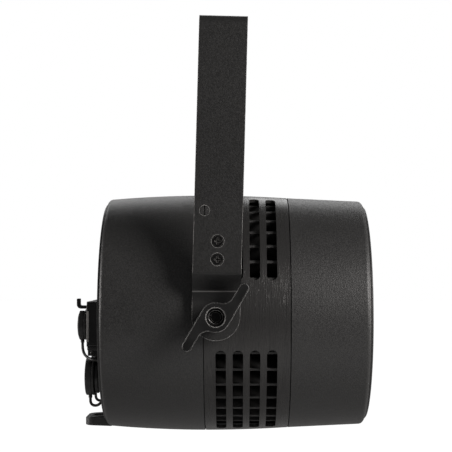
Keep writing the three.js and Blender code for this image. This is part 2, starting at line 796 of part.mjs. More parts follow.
function rearPanel() {
  const plug = panelMouthRadius - fitGap;
  const rimEdge = panelRecessRadius + panelRimDraft;
  const disc = turned([
    [0, panelFaceX],
    [panelRecessRadius, panelFaceX],
    [rimEdge, panelRimX],
    [panelFlangeRadius - bezelChamfer, panelRimX],
    [panelFlangeRadius, panelRimX + bezelChamfer],
    [panelFlangeRadius, rearFaceX - fitGap],
    [plug, rearFaceX - fitGap],
    [plug, panelBackX],
    [0, panelBackX],
  ]);
  const posts = [-1, 1].flatMap((side) =>
    [boardBottom + boardPostInset, boardTop - boardPostInset].map((z) =>
      rodX(boardPostRadius, panelBackX - joinDepth, panelBackX + boardPostLength,
        side * (boardWidth / 2 - boardPostInset), z, screwSides),
    ),
  );
  const anchors = tetherAnchors.map(({ y, z }) =>
    rodX(anchorRadius, panelFaceX - anchorHeight, panelFaceX + joinDepth, y, z, screwSides),
  );
  const [front, back] = [panelRimX - overrun, panelBackX + overrun];
  const connectorHoles = columns.flatMap((y) =>
    [signalHeight, powerHeight].map((z) => rodX(tailRadius + fitGap, front, back, y, z, mediumSides)),
  );
  const buttonHoles = buttonPlaces.map((y) => rodX(buttonRadius + fitGap, front, back, y, buttonHeight));
  const screwHoles = panelScrewPlaces.flatMap(({ y, z }) => [
    rodX(panelScrewRadius + fitGap, front, back, y, z, screwSides),
    rodX(panelScrewHeadRadius + fitGap, front, panelRimX + panelScrewHeadHeight + fitGap, y, z, smallSides),
  ]);
  const [half, tall] = [displayWidth / 2 + fitGap, displayTall / 2 + fitGap];
  const displayAt = (inset) => [
    [-half + inset, half - inset],
    [displayHeight - tall + inset, displayHeight + tall - inset],
  ];
  const displayHole = block([front, back], ...displayAt(displayLedge));
  const displayRebate = block([front, displayFloorX], ...displayAt(0));
  const breatherHole = rodX(breatherStemRadius + fitGap, front, back, breatherSide, breatherHeight);
  return cut(
    joined(disc, ...posts, ...anchors),
    ...connectorHoles,
    ...buttonHoles,
    ...screwHoles,
    displayHole,
    displayRebate,
    breatherHole,
    safetyEye(fitGap),
  );
}

place(head, "rear_panel", rearPanel(), paint);

const gasketFromX = panelBackX + fitGap;
const gasketInner = panelLandRadius + fitGap;
place(
  head,
  "panel_gasket",
  washer(gasketInner, gasketInner + panelGasketWidth, gasketFromX, gasketFromX + panelGasketThickness),
  rubber,
);

panelScrewPlaces.forEach(({ y, z }, i) => {
  const body = joined(
    rodX(panelScrewHeadRadius, 0, panelScrewHeadHeight, 0, 0, smallSides),
    rodX(panelScrewRadius, panelScrewHeadHeight - joinDepth, panelScrewLength, 0, 0, screwSides),
  );
  const drive = rodX(panelScrewRadius * panelDriveShare, -overrun, slotDepth, 0, 0, screwSides);
  place(head, `panel_screw_${i + 1}`, cut(body, drive), blackSteel).position.set(panelRimX, y, z);
});

function displayWindow() {
  const [half, tall] = [displayWidth / 2, displayTall / 2];
  const pane = roundedRectangle([-half, half], [displayHeight - tall, displayHeight + tall], blockCorner);
  return slabX(pane, panelFaceX - displayProud, panelFaceX + displayThickness - displayProud, cornerSteps);
}

place(head, "display_window", displayWindow(), plastic);

const boardX = panelBackX + boardPostLength + fitGap;
place(
  head,
  "control_board",
  block([boardX, boardX + boardThickness], [-boardWidth / 2, boardWidth / 2], [boardBottom, boardTop]),
  circuit,
);

buttonPlaces.forEach((y, i) => {
  const flangeX = panelBackX + fitGap;
  const body = joined(
    rodX(buttonRadius, panelFaceX - buttonProud, flangeX + joinDepth, 0, 0, smallSides),
    rodX(buttonFlangeRadius, flangeX, flangeX + buttonFlangeThickness, 0, 0, smallSides),
    rodX(buttonRadius / 2, flangeX, boardX - buttonTravel - fitGap, 0, 0, screwSides),
  );
  place(head, `menu_button_${i + 1}`, body, rubber).position.set(0, y, buttonHeight);
});

function breatherPlug() {
  return joined(
    rodX(breatherRadius, panelFaceX - breatherProud, panelFaceX - fitGap, 0, 0, smallSides),
    rodX(breatherStemRadius, panelFaceX - fitGap - joinDepth, panelBackX + overrun, 0, 0, smallSides),
  );
}

place(head, "breather_plug", breatherPlug(), plastic).position.set(0, breatherSide, breatherHeight);

// Power supply: a shallow tray shape against the bulkhead
function powerSupply() {
  const [half, tall] = [supplyWidth / 2, supplyTall / 2];
  const backX = bulkheadRearX - fitGap;
  const foot = block([backX - supplyRim, backX], [-half - supplyRim, half + supplyRim], [-tall, tall]);
  const body = block([backX - supplyDepth, backX - supplyRim + joinDepth], [-half, half], [-tall, tall]);
  return joined(foot, body);
}

place(head, "power_supply", powerSupply(), zinc);

// Rear connectors: a tall signal block above a round power socket in each column
const connectorX = panelFaceX - fitGap;
const signalFaceX = connectorX - signalDepth;
const powerFaceX = connectorX - powerDepth;
const signalTop = signalHeight + signalAbove;
const leverZ = signalHeight + leverHeight;

function signalConnector(y, hasLever) {
  const half = connectorWidth / 2;
  const body = slabX(
    roundedRectangle([y - half, y + half], [signalHeight - signalBelow, signalTop], blockCorner),
    signalFaceX,
    connectorX,
    cornerSteps,
  );
  const ledgeHalf = signalLedgeWidth / 2;
  const ledge = block(
    [signalFaceX + signalLedgeSetback, connectorX],
    [y - ledgeHalf, y + ledgeHalf],
    [signalHeight - signalBelow - signalLedge, signalHeight - signalBelow + joinDepth],
  );
  const along = (radius, from, to) => rodX(radius, from, to, y, signalHeight, mediumSides);
  const collar = along(signalCollarRadius, signalFaceX - signalCollarLength, signalFaceX + joinDepth);
  const tail = along(tailRadius, connectorX - joinDepth, panelBackX + tailLength);
  const socketEnd = signalFaceX - signalCollarLength + bungLength + bungEndGap;
  const socket = along(signalSocketRadius, signalFaceX - signalCollarLength - overrun, socketEnd);
  const whole = joined(body, ledge, collar, tail);
  if (!hasLever) return cut(whole, socket);
  const room = leverWidth / 2 + fitGap;
  const leverSlot = block(
    [signalFaceX - overrun, signalFaceX + leverRoot + fitGap],
    [y - room, y + room],
    [leverZ - leverThickness / 2 - leverSlotBelow, leverZ + leverThickness / 2 + leverSlotAbove],
  );
  return cut(whole, socket, leverSlot);
}

function powerConnector(y) {
  const half = connectorWidth / 2;
  const flange = slabX(
    roundedRectangle([y - half, y + half], [powerHeight - half, powerHeight + half], blockCorner),
    connectorX - powerFlangeThickness,
    connectorX,
    cornerSteps,
  );
  const along = (radius, from, to) => rodX(radius, from, to, y, powerHeight, mediumSides);
  const barrel = along(powerBarrelRadius, powerFaceX, connectorX - powerFlangeThickness + joinDepth);
  const tail = along(tailRadius, connectorX - joinDepth, panelBackX + tailLength);
  const socketEnd = powerFaceX + bungLength + bungEndGap;
  const socket = along(powerSocketRadius, powerFaceX - overrun, socketEnd);
  return cut(joined(flange, barrel, tail), socket);
}

// A sealing cap: a domed disc with a bung, and a lug at its lower edge that the tether holds.
function sealingCap(y, z, faceX, radius, thickness, bungRadius) {
  const from = faceX - fitGap;
  const crown = from - thickness;
  const disc = turned(
    [
      [0, crown],
      [radius - 2 * capEdge, crown + capDome / 2],
      [radius - capEdge / 2, crown + capDome + capEdge / 2],
      [radius, crown + capDome + capEdge],
      [radius, from],
      [bungRadius, from],
      [bungRadius, faceX + bungLength],
      [0, faceX + bungLength],
    ],
    mediumSides,
  ).translate(0, y, z);
  const lugX = from - thickness / 2;
  const lug = rodZ(capLugRadius, z - radius - capLugLength, z - radius + capLugRadius, lugX, y, screwSides);
  return joined(disc, lug);
}

// A rubber tether along a route of hand-picked points.
function tether(route) {
  const points = route.map(([x, y, z]) => new THREE.Vector3(x, y, z));
  const section = new THREE.Shape();
  for (let i = 0; i < tetherSides; i += 1) {
    const angle = (i / tetherSides) * 2 * Math.PI;
    const [u, v] = [tetherRadius * Math.cos(angle), tetherRadius * Math.sin(angle)];
    if (i === 0) section.moveTo(u, v);
    else section.lineTo(u, v);
  }
  section.closePath();
  const extrudePath = new THREE.CatmullRomCurve3(points, false, "centripetal");
  return new THREE.ExtrudeGeometry(section, { steps: tetherSteps, bevelEnabled: false, extrudePath });
}

const signalCapFaceX = signalFaceX - signalCollarLength;
const signalLugX = signalCapFaceX - fitGap - signalCapThickness / 2;
const powerLugX = powerFaceX - fitGap - powerCapThickness / 2;
const anchorX = panelFaceX - anchorHeight - fitGap;
const signalLugZ = signalHeight - signalCapRadius - capLugLength - fitGap;
const powerLugZ = powerHeight - powerCapRadius - capLugLength - fitGap;

// The upper tether hangs beside its block, and the lower one loops under its cap.
const upperBend = 6;
const upperSag = 11.5;
const lowerSag = 6;
function tetherRoutes(y, sign) {
  const [side, low] = [tetherAnchors[sign < 0 ? 0 : 2], tetherAnchors[sign < 0 ? 1 : 3]];
  const upper = [
    [signalLugX, y, signalLugZ],
    [signalLugX, y, signalLugZ - upperBend / 2],
    [signalLugX + upperBend / 2, y + sign * upperBend, signalLugZ - upperSag],
    [signalLugX + 2 * upperBend, side.y, side.z],
    [anchorX - upperBend, side.y, side.z],
    [anchorX, side.y, side.z],
  ];
  const lower = [
    [powerLugX, y, powerLugZ],
    [powerLugX, y, powerLugZ - lowerSag / 2],
    [(powerLugX + anchorX) / 2, y, powerLugZ - lowerSag],
    [anchorX - lowerSag / 2, y, low.z],
    [anchorX, y, low.z],
  ];
  return { upper, lower };
}

const signalNames = { right: "xlr_input", left: "xlr_output" };
const powerNames = { right: "power_input", left: "power_output" };
sides.forEach((side, i) => {
  const y = columns[i];
  const [signal, power] = [signalNames[side.name], powerNames[side.name]];
  place(head, signal, signalConnector(y, side.sign < 0), plastic);
  place(head, power, powerConnector(y), plastic);
  const signalBung = signalSocketRadius - fitGap;
  const signalCap = sealingCap(
    y, signalHeight, signalCapFaceX, signalCapRadius, signalCapThickness, signalBung,
  );
  place(head, `${signal}_cap`, signalCap, rubber);
  const powerBung = powerSocketRadius - fitGap;
  const powerCap = sealingCap(y, powerHeight, powerFaceX, powerCapRadius, powerCapThickness, powerBung);
  place(head, `${power}_cap`, powerCap, rubber);
  const routes = tetherRoutes(y, side.sign);
  place(head, `${signal}_tether`, tether(routes.upper), rubber);
  place(head, `${power}_tether`, tether(routes.lower), rubber);
});

// Latch lever: runs out over the cap and turns up, from its root in the block
function latchLever() {
  const [from, to] = [signalFaceX - leverReach, signalFaceX + leverRoot];
  const [low, high] = [leverZ - leverThickness / 2, leverZ + leverThickness / 2];
  const outline = new THREE.Shape();
  outline.moveTo(to, low);
  outline.lineTo(to, high);
  outline.lineTo(from + leverThickness, high);
  outline.lineTo(from + leverThickness, low + leverRise + leverThickness);
  outline.lineTo(from, low + leverRise + leverThickness);
  outline.lineTo(from, high);
  outline.absarc(from + leverThickness, high, leverThickness, Math.PI, 1.5 * Math.PI, false);
  outline.closePath();
  return slabY(outline, columns[0] - leverWidth / 2, columns[0] + leverWidth / 2);
}

place(head, "latch_lever", latchLever(), blackSteel);

// Pivots: on each side a stud, a boss with a saddle under it, a washer and a clamp handle
function barrelBody(grow) {
  const from = rearSeamX - pivotBossRadius - overrun;
  const to = pivotBossRadius + overrun;
  return turned([[0, from], ...barrelLine(from, to, bossSteps, -grow), [0, to]], 2 * largeSides);
}

// A handle's outline about its hub, with its arms along the first axis.
function handleOutline() {
  const tip = handleArmWidth / 2;
  const axisOffset = handleHubRadius - tip;
  const innerEdge = axisOffset - tip;
  const filletAcross = innerEdge - handleFillet;
  const filletAlong = Math.sqrt((handleHubRadius + handleFillet) ** 2 - filletAcross ** 2);
  const filletAngle = Math.atan2(-filletAcross, filletAlong);
  const outline = new THREE.Shape();
  outline.moveTo(0, handleHubRadius);
  for (const turn of [0, Math.PI]) {
    const sign = turn ? -1 : 1;
    const quarter = Math.PI / 2;
    outline.lineTo(sign * handleArmReach, sign * handleHubRadius);
    outline.absarc(sign * handleArmReach, sign * axisOffset, tip, turn + quarter, turn - quarter, true);
    outline.lineTo(sign * filletAlong, sign * innerEdge);
    const filletEnd = turn + Math.PI - filletAngle;
    outline.absarc(sign * filletAlong, sign * filletAcross, handleFillet, turn + quarter, filletEnd, false);
    outline.absarc(0, 0, handleHubRadius, turn - filletAngle, turn - quarter, true);
  }
  return outline;
}

function clampHandle() {
  const inside = tabOuterHalf + fitGap - handleOuterHalf;
  const plate = new THREE.ExtrudeGeometry(handleOutline(), {
    depth: handleThickness - 2 * handleBevel,
    bevelThickness: handleBevel,
    bevelSize: handleBevel,
    bevelOffset: -handleBevel,
    bevelSegments: 1,
    curveSegments: handleSteps,
  });
  plate.scale(1, -1, 1).rotateZ(THREE.MathUtils.degToRad(handleArmDegrees));
  plate.translate(0, 0, -handleThickness + handleBevel);
  plate.rotateX(Math.PI / 2);
  const collar = rodY(handleCollarRadius, handleThickness - joinDepth, -inside, 0, 0, smallSides);
  const bore = rodY(handleBoreRadius, -overrun, -inside + overrun, 0, 0, smallSides);
  const funnel = turned(
    [
      [0, 0],
      [handleBoreRadius, 0],
      [handleChamferRadius, -handleChamferDepth],
      [handleChamferRadius, -handleChamferDepth - overrun],
      [0, -handleChamferDepth - overrun],
    ],
    smallSides,
  ).rotateZ(Math.PI / 2).translate(0, handleChamferDepth, 0);
  return cut(joined(plate, collar), bore, funnel);
}

const barrel = barrelBody(fitGap);
for (const side of sides) {
  const studInnerHalf = finTipRadius + fitGap;
  const stud = rodY(studRadius, ...spanY(side, studInnerHalf, studOuterHalf));
  place(head, `${side.name}_pivot_stud`, stud, zinc);
  const [y0, y1] = spanY(side, barrelRadius - pivotBossRadius, bossOuterHalf);
  const hole = rodY(studRadius + fitGap, y0 - overrun, y1 + overrun);
  const boss = cut(rodY(pivotBossRadius, y0, y1, 0, 0, mediumSides), hole, barrel);
  place(head, `${side.name}_pivot_boss`, boss, castAluminium);
  const [w0, w1] = spanY(side, washerInnerHalf, washerInnerHalf + washerThickness);
  const disc = cut(rodY(washerRadius, w0, w1, 0, 0, mediumSides), hole);
  place(head, `${side.name}_friction_washer`, disc, rubber);
  onSide(place(head, `${side.name}_clamp_handle`, clampHandle(), blackSteel), side, 0, handleOuterHalf, 0);
}

// Yoke: a flat bar bent to a bail, whose lower tabs are joggled in and rounded
function strapOutline() {
  const half = strapOuterHalf;
  const inner = half - strapThickness;
  const top = strapHeight;
  const bottom = -strapWidth;
  const bend = strapBendRadius;
  const outline = new THREE.Shape();
  outline.moveTo(-tabOuterHalf, bottom);
  outline.lineTo(-tabOuterHalf, joggleBottom);
  outline.lineTo(-half, joggleTop);
  outline.lineTo(-half, top - bend);
  outline.absarc(-half + bend, top - bend, bend, Math.PI, Math.PI / 2, true);
  outline.lineTo(half - bend, top);
  outline.absarc(half - bend, top - bend, bend, Math.PI / 2, 0, true);
  outline.lineTo(half, joggleTop);
  outline.lineTo(tabOuterHalf, joggleBottom);
  outline.lineTo(tabOuterHalf, bottom);
  outline.lineTo(tabInnerHalf, bottom);
  outline.lineTo(tabInnerHalf, joggleBottom);
  outline.lineTo(inner, joggleTop);
  outline.lineTo(inner, top - bend);
  outline.absarc(half - bend, top - bend, bend - strapThickness, 0, Math.PI / 2, false);
  outline.lineTo(-half + bend, top - strapThickness);
  outline.absarc(-half + bend, top - bend, bend - strapThickness, Math.PI / 2, Math.PI, false);
  outline.lineTo(-inner, joggleTop);
  outline.lineTo(-tabInnerHalf, joggleBottom);
  outline.lineTo(-tabInnerHalf, bottom);
  outline.closePath();
  return outline;
}

// A countersunk screw, its head's face at y = 0 and its shank towards +Y.
function armScrewBody(grow, length) {
  const [head, shank] = [armScrewHeadRadius + grow, armScrewRadius + grow];
  return turned(
    [
      [0, grow],
      [head, grow],
      [head, 0],
      [shank, -armScrewHeadDepth],
      [shank, -length],
      [0, -length],
    ],
    smallSides,
  ).rotateZ(-Math.PI / 2);
}

function yokeStrap() {
  const half = strapWidth / 2;
  const bar = slabX(strapOutline(), -half, half, bendSteps);
  const mask = new THREE.Shape();
  mask.moveTo(half, 0);
  mask.lineTo(half, strapHeight + overrun);
  mask.lineTo(-half, strapHeight + overrun);
  mask.lineTo(-half, 0);
  mask.absarc(0, 0, half, Math.PI, 2 * Math.PI, false);
  const through = [-strapOuterHalf - overrun, strapOuterHalf + overrun];
  const rounded = shared(bar, slabY(mask, ...through, tabRoundSteps));
  const pivotHole = rodY(studRadius + fitGap, ...through);
  const plugHole = rodY(plugScrewRadius + fitGap, ...through, -plugScrewSetback, plugScrewHeight);
  const [low, high] = [strapHeight - strapThickness - overrun, strapHeight + overrun];
  const topHoles = [
    rodZ(clampHoleRadius, low, high, 0, 0, smallSides),
    rodZ(sideHoleRadius, low, high, 0, -sideHoleOffset, smallSides),
    rodZ(sideHoleRadius, low, high, 0, sideHoleOffset, smallSides),
  ];
  const sinks = armScrewHeights.flatMap((z) => [
    armScrewBody(fitGap, strapThickness + overrun).translate(0, -strapOuterHalf, z),
    armScrewBody(fitGap, strapThickness + overrun).rotateZ(Math.PI).translate(0, strapOuterHalf, z),
  ]);
  return cut(rounded, pivotHole, plugHole, ...topHoles, ...sinks);
}

place(yoke, "yoke_strap", yokeStrap(), paint);

function armScrew() {
  const length = strapThickness + fitGap + armPlateThickness - fitGap;
  const arms = [0, Math.PI / 2].map((turn) =>
    block(
      [-armScrewRadius, armScrewRadius],
      [-overrun, slotDepth],
      [-slotThickness / 2, slotThickness / 2],
    ).rotateY(turn),
  );
  return cut(armScrewBody(0, length), ...arms);
}

function plugScrew() {
  const body = rodY(plugScrewRadius, 0, strapThickness, 0, 0, smallSides);
  const slot = block(
    [-slotThickness / 2, slotThickness / 2],
    [-overrun, slotDepth],
    [-plugScrewRadius - overrun, plugScrewRadius + overrun],
  );
  return cut(body, slot);
}

// Plate inside each arm, which the countersunk screws hold
function armPlate(side) {
  const outer = strapOuterHalf - strapThickness - fitGap;
  const [y0, y1] = spanY(side, outer - armPlateThickness, outer);
  const [lowest, highest] = [Math.min(...armScrewHeights), Math.max(...armScrewHeights)];
  const half = armPlateWidth / 2;
  const tall = [lowest - armPlateMargin, highest + armPlateMargin];
  const outline = roundedRectangle([-half, half], tall, armPlateCorner);
  const holes = armScrewHeights.map((z) =>
    rodY(armScrewRadius + fitGap, y0 - overrun, y1 + overrun, 0, z, smallSides),
  );
  return cut(slabY(outline, y0, y1, cornerSteps - 1), ...holes);
}

for (const side of sides) {
  place(yoke, `${side.name}_arm_plate`, armPlate(side), blackSteel);
  armScrewHeights.forEach((z, i) => {
    const screw = place(yoke, `${side.name}_arm_screw_${i + 1}`, armScrew(), blackSteel);
    onSide(screw, side, 0, strapOuterHalf, z);
  });
  const plug = place(yoke, `${side.name}_plug_screw`, plugScrew(), blackSteel);
  onSide(plug, side, -plugScrewSetback, strapOuterHalf, plugScrewHeight);
}

// The yoke leans forward a little about the tilt axis, and the clamp hole becomes the origin.
const lean = THREE.MathUtils.degToRad(yokeLeanDegrees);
yoke.rotation.y = lean;
group.children.forEach((child) => {
  child.position.set(-strapHeight * Math.sin(lean), 0, -strapHeight * Math.cos(lean));
});

export default group;
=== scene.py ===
"""Looks of a strobe light: a vented barrel head in a flat-bar yoke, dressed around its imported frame."""

import json
import logging
import math
from collections.abc import Sequence
from dataclasses import dataclass
from enum import Enum, StrEnum
from itertools import pairwise

import bpy
from mathutils import Matrix, Vector


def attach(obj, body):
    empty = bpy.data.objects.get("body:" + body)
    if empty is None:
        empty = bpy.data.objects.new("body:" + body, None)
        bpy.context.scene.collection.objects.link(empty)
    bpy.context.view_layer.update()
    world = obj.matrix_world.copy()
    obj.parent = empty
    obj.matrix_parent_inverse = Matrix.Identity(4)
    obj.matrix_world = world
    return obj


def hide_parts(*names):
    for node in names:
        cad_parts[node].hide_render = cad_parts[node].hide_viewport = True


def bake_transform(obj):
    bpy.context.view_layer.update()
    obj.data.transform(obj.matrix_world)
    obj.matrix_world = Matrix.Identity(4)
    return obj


log = logging.getLogger("strobe")
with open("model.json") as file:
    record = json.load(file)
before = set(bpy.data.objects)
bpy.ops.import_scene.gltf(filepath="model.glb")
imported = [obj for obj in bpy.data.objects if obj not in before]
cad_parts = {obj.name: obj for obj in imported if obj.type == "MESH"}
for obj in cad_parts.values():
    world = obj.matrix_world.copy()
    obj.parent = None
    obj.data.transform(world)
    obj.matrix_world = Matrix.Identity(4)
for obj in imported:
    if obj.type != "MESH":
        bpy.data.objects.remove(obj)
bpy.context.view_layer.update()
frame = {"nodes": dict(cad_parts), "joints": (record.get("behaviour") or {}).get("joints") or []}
MM = 0.001
Point = tuple[float, float]
Triple = tuple[float, float, float]
Colour = Triple
Line = Sequence[Point]
Edge = tuple[float, int]
Piece = bpy.types.Object


def joint_place(name: str) -> Vector:
    """Where a hinge of the frame stands, in metres."""
    joint = next(j for j in frame["joints"] if j["name"] == name)
    return Vector(joint["pos_m"])


PIVOT = joint_place("head_tilt")
LEAN = math.radians(1.5)
HEAD_PLACE = Matrix.Translation(PIVOT) @ Matrix.Scale(MM, 4)
YOKE_PLACE = Matrix.Translation(PIVOT) @ Matrix.Rotation(LEAN, 4, "Y") @ Matrix.Scale(MM, 4)
UPRIGHT = Matrix.Rotation(-math.pi / 2, 4, "Y")


class Body(StrEnum):
    """The rigid bodies that pieces ride on."""

    YOKE = "yoke"
    HEAD = "head"
    LATCH = "latch"


class Side(Enum):
    """The two sides of the head, seen from behind the lamp."""

    RIGHT = -1
    LEFT = 1

    @property
    def word(self) -> str:
        """The side's name in lower case."""
        return self.name.lower()


# Shader graph helpers


class Wire:
    """A shader socket that adds Math nodes when it is used in an expression."""

    def __init__(self, graph: "Graph", socket: bpy.types.NodeSocket) -> None:
        """Wraps an output socket of a graph.

        Args:
            graph: the material's graph.
            socket: the output to wrap.
        """
        self.graph = graph
        self.socket = socket

    def _math(self, operation: str, left: "Wire | float", right: "Wire | float") -> "Wire":
        """One Math node on two values."""
        return self.graph.node("ShaderNodeMath", {"operation": operation}, {0: left, 1: right})

    def __add__(self, other: "Wire | float") -> "Wire":
        """Sum."""
        return self._math("ADD", self, other)

    def __mul__(self, other: "Wire | float") -> "Wire":
        """Product."""
        return self._math("MULTIPLY", self, other)

    def __sub__(self, other: "Wire | float") -> "Wire":
        """Difference."""
        return self._math("SUBTRACT", self, other)

    def __rsub__(self, other: float) -> "Wire":
        """Difference, with the number first."""
        return self._math("SUBTRACT", other, self)

    def swing(self, size: float) -> "Wire":
        """The value's swing about a half, scaled to a size."""
        return (self - 0.5) * size

    def toward(self, other: "Wire", share: float) -> "Wire":
        """A sum of this value and another, which has the given share in it."""
        return self * (1 - share) + other * share


class Graph:
    """A node material with one Principled shader."""

    def __init__(self, name: str) -> None:
        """Makes an empty material.

        Args:
            name: the material's name.
        """
        self.material = bpy.data.materials.new(name)
        self.material.use_nodes = True
        self.tree = self.material.node_tree
        self.tree.nodes.clear()
        output = self.tree.nodes.new("ShaderNodeOutputMaterial")
        self.shader = self.tree.nodes.new("ShaderNodeBsdfPrincipled")
        self.tree.links.new(self.shader.outputs[0], output.inputs["Surface"])

    def node(self, kind: str, settings: dict, inputs: dict, output: int | str = 0) -> Wire:
        """Adds a node.

        Args:
            kind: the node's type.
            settings: attributes, set first.
            inputs: values or wires, by socket name or index.
            output: which output to return.

        Returns:
            The wrapped output.
        """
        made = self.tree.nodes.new(kind)
        for key, value in settings.items():
            setattr(made, key, value)
        self.fill(made, inputs)
        return Wire(self, made.outputs[output])

    def fill(self, node: bpy.types.Node, inputs: dict) -> None:
        """Sets or links a node's inputs."""
        for key, value in inputs.items():
            if isinstance(value, Wire):
                self.tree.links.new(value.socket, node.inputs[key])
            else:
                node.inputs[key].default_value = value

    def place(self, scale: Sequence[float] = (1, 1, 1), centre: Sequence[float] = (0, 0, 0)) -> Wire:
        """Object coordinates, centred on a point and scaled on each axis."""
        where = self.node("ShaderNodeTexCoord", {}, {}, "Object")
        shift = tuple(-middle * factor for middle, factor in zip(centre, scale))
        return self.node("ShaderNodeMapping", {}, {"Vector": where, "Location": shift, "Scale": tuple(scale)})

    def distance(self, height: float, unit: float) -> Wire:
        """The distance in height from a level over the pivot, as a multiple of a unit in metres."""
        level = self.place((0, 0, 1 / unit), PIVOT + Vector((0, 0, height)))
        return self.node("ShaderNodeVectorMath", {"operation": "LENGTH"}, {0: level}, "Value")

    def noise(self, vector: Wire, scale: float, detail: float = 3.0, roughness: float = 0.5) -> Wire:
        """A noise value over a vector."""
        inputs = {"Vector": vector, "Scale": scale, "Detail": detail, "Roughness": roughness}
        return self.node("ShaderNodeTexNoise", {}, inputs)

    def ramp(self, value: Wire, stops: Line) -> Wire:
        """A grey ramp with the given stops of place and level."""
        made = self.tree.nodes.new("ShaderNodeValToRGB")
        ramp = made.color_ramp
        for index, (place, level) in enumerate(stops):
            stop = ramp.elements[index] if index < len(ramp.elements) else ramp.elements.new(place)
            stop.position = place
            stop.color = (level, level, level, 1)
        self.fill(made, {0: value})
        return Wire(self, made.outputs[0])

    def rise(self, value: Wire, span: Point) -> Wire:
        """A ramp from black at the span's start to white at its end."""
        return self.ramp(value, ((span[0], 0.0), (span[1], 1.0)))

    def mix(self, factor: Wire, first: "Wire | Colour", second: "Wire | Colour") -> Wire:
        """A colour between two colours, each of them plain or wired."""
        made = self.tree.nodes.new("ShaderNodeMix")
        made.data_type = "RGBA"
        ends = {6: first, 7: second}
        plain = {key: (*end, 1.0) for key, end in ends.items() if not isinstance(end, Wire)}
        self.fill(made, {0: factor, **ends, **plain})
        return Wire(self, made.outputs[2])

    def bump(self, height: Wire, distance: float) -> Wire:
        """A normal from a height, whose distance is in metres."""
        return self.node("ShaderNodeBump", {}, {"Height": height, "Distance": distance})

    def done(self, **inputs: object) -> bpy.types.Material:
        """Sets the shader's inputs, with _ for a space in their names, and returns the material."""
        self.fill(self.shader, {key.replace("_", " "): value for key, value in inputs.items()})
        return self.material


@dataclass(frozen=True)
class EdgeWearAndHighlight:
    """How convex edges are lightened, partly as wear and partly as a painted edge highlight: how wide, at
    what bend of the surface, and in what patches.
    """

    radius: float = 0.0012
    bend: Point = (0.03, 0.14)
    patch: float = 350.0
    patches: Line = ((0.3, 0.35), (0.6, 1.0))

    def mask(self, graph: Graph, where: Wire) -> Wire:
        """A mask for wear and painted edge highlight, from a rounded normal against the true one, broken up
        by a noise.
        """
        soft = graph.node("ShaderNodeBevel", {"samples": 4}, {"Radius": self.radius})
        hard = graph.node("ShaderNodeNewGeometry", {}, {}, "Normal")
        same = graph.node("ShaderNodeVectorMath", {"operation": "DOT_PRODUCT"}, {0: soft, 1: hard}, "Value")
        return graph.rise(1.0 - same, self.bend) * graph.ramp(graph.noise(where, self.patch), self.patches)


@dataclass(frozen=True)
class PowderCoat:
    """A fine-textured matt powder coat, with lighter edges that are partly wear and partly a painted edge
    highlight, and where asked painted shade at a crease and a painted highlight along its fold.
    """

    name: str
    tone: Colour = (0.0185, 0.0183, 0.0182)
    light: Colour = (0.040, 0.0396, 0.0393)
    depth: float = 0.00026
    edge: Colour | None = None
    crease: Point | None = None
    edge_wear_and_highlight: EdgeWearAndHighlight = EdgeWearAndHighlight(0.0009, patch=260.0, patches=((0.32, 0.25), (0.62, 1.0)))
    grain: float = 850.0
    fine: float = 1955.0
    blotch: float = 22.0
    specks: Point = (0.38, 0.64)
    roughness: float = 0.41
    # Painted shade in the crease, and a painted highlight along its fold line.
    shaded: Colour = (0.007, 0.007, 0.007)
    shade: Line = ((0.5, 0.0), (0.9, 0.55), (1.05, 1.0))
    fold_highlight: Colour = (0.11, 0.108, 0.106)
    fold: Point = (0.0207, 0.0008)
    fold_line: Line = ((0.2, 1.0), (1.0, 0.0))

    def make(self) -> bpy.types.Material:
        """Builds the material: grain of two sizes in colour, gloss and relief, and a slow drift of tone."""
        graph = Graph(self.name)
        where = graph.place()
        grain = graph.noise(where, self.grain, 2.0)
        fine = graph.noise(where, self.fine, 1.0)
        blotch = graph.noise(where, self.blotch)
        speck = graph.rise(grain.toward(fine, 0.3), self.specks)
        colour = graph.mix(speck.toward(blotch, 0.25), self.tone, self.light)
        # Lighter edges: partly wear, partly a painted edge highlight.
        if self.edge:
            colour = graph.mix(self.edge_wear_and_highlight.mask(graph, where), colour, self.edge)
        # Painted shade darkens the crease, and a painted highlight lies along its fold line.
        if self.crease:
            shade = graph.ramp(graph.distance(*self.crease), self.shade)
            colour = graph.mix(shade, self.shaded, colour)
            colour = graph.mix(graph.ramp(graph.distance(*self.fold), self.fold_line), colour, self.fold_highlight)
        rough = grain.swing(0.3) + blotch.swing(0.08) + self.roughness
        relief = graph.bump(grain.toward(fine, 0.4), self.depth)
        return graph.done(Base_Color=colour, Roughness=rough, Normal=relief, Metallic=0.0, IOR=1.5)


@dataclass(frozen=True)
class BrushedCoat:
    """A thin black coat over metal that is brushed round the barrel."""

    name: str
    tone: Colour = (0.007, 0.0069, 0.0068)
    light: Colour = (0.075, 0.073, 0.072)
    streak: Triple = (1500.0, 60.0, 60.0)
    band: Triple = (700.0, 16.0, 16.0)
    fleck: Triple = (1500.0, 160.0, 160.0)
    scratches: Point = (0.34, 0.66)
    roughness: float = 0.38
    depth: float = 0.0003

    def make(self) -> bpy.types.Material:
        """Builds the material: streaks that run round the lamp's axis, and show most in its gloss."""
        graph = Graph(self.name)
        streak = graph.noise(graph.place(self.streak, PIVOT), 1.0, 3.0, 0.6)
        band = graph.noise(graph.place(self.band, PIVOT), 1.0, 2.0)
        fleck = graph.noise(graph.place(self.fleck, PIVOT), 1.0, 2.0)
        blend = streak * 0.45 + band * 0.2 + fleck * 0.35
        scratch = graph.rise(blend, self.scratches)
        return graph.done(
            Base_Color=graph.mix(scratch, self.tone, self.light), Roughness=scratch * -0.15 + self.roughness,
            Normal=graph.bump(blend, self.depth), Metallic=scratch * 0.8, IOR=1.5,
        )


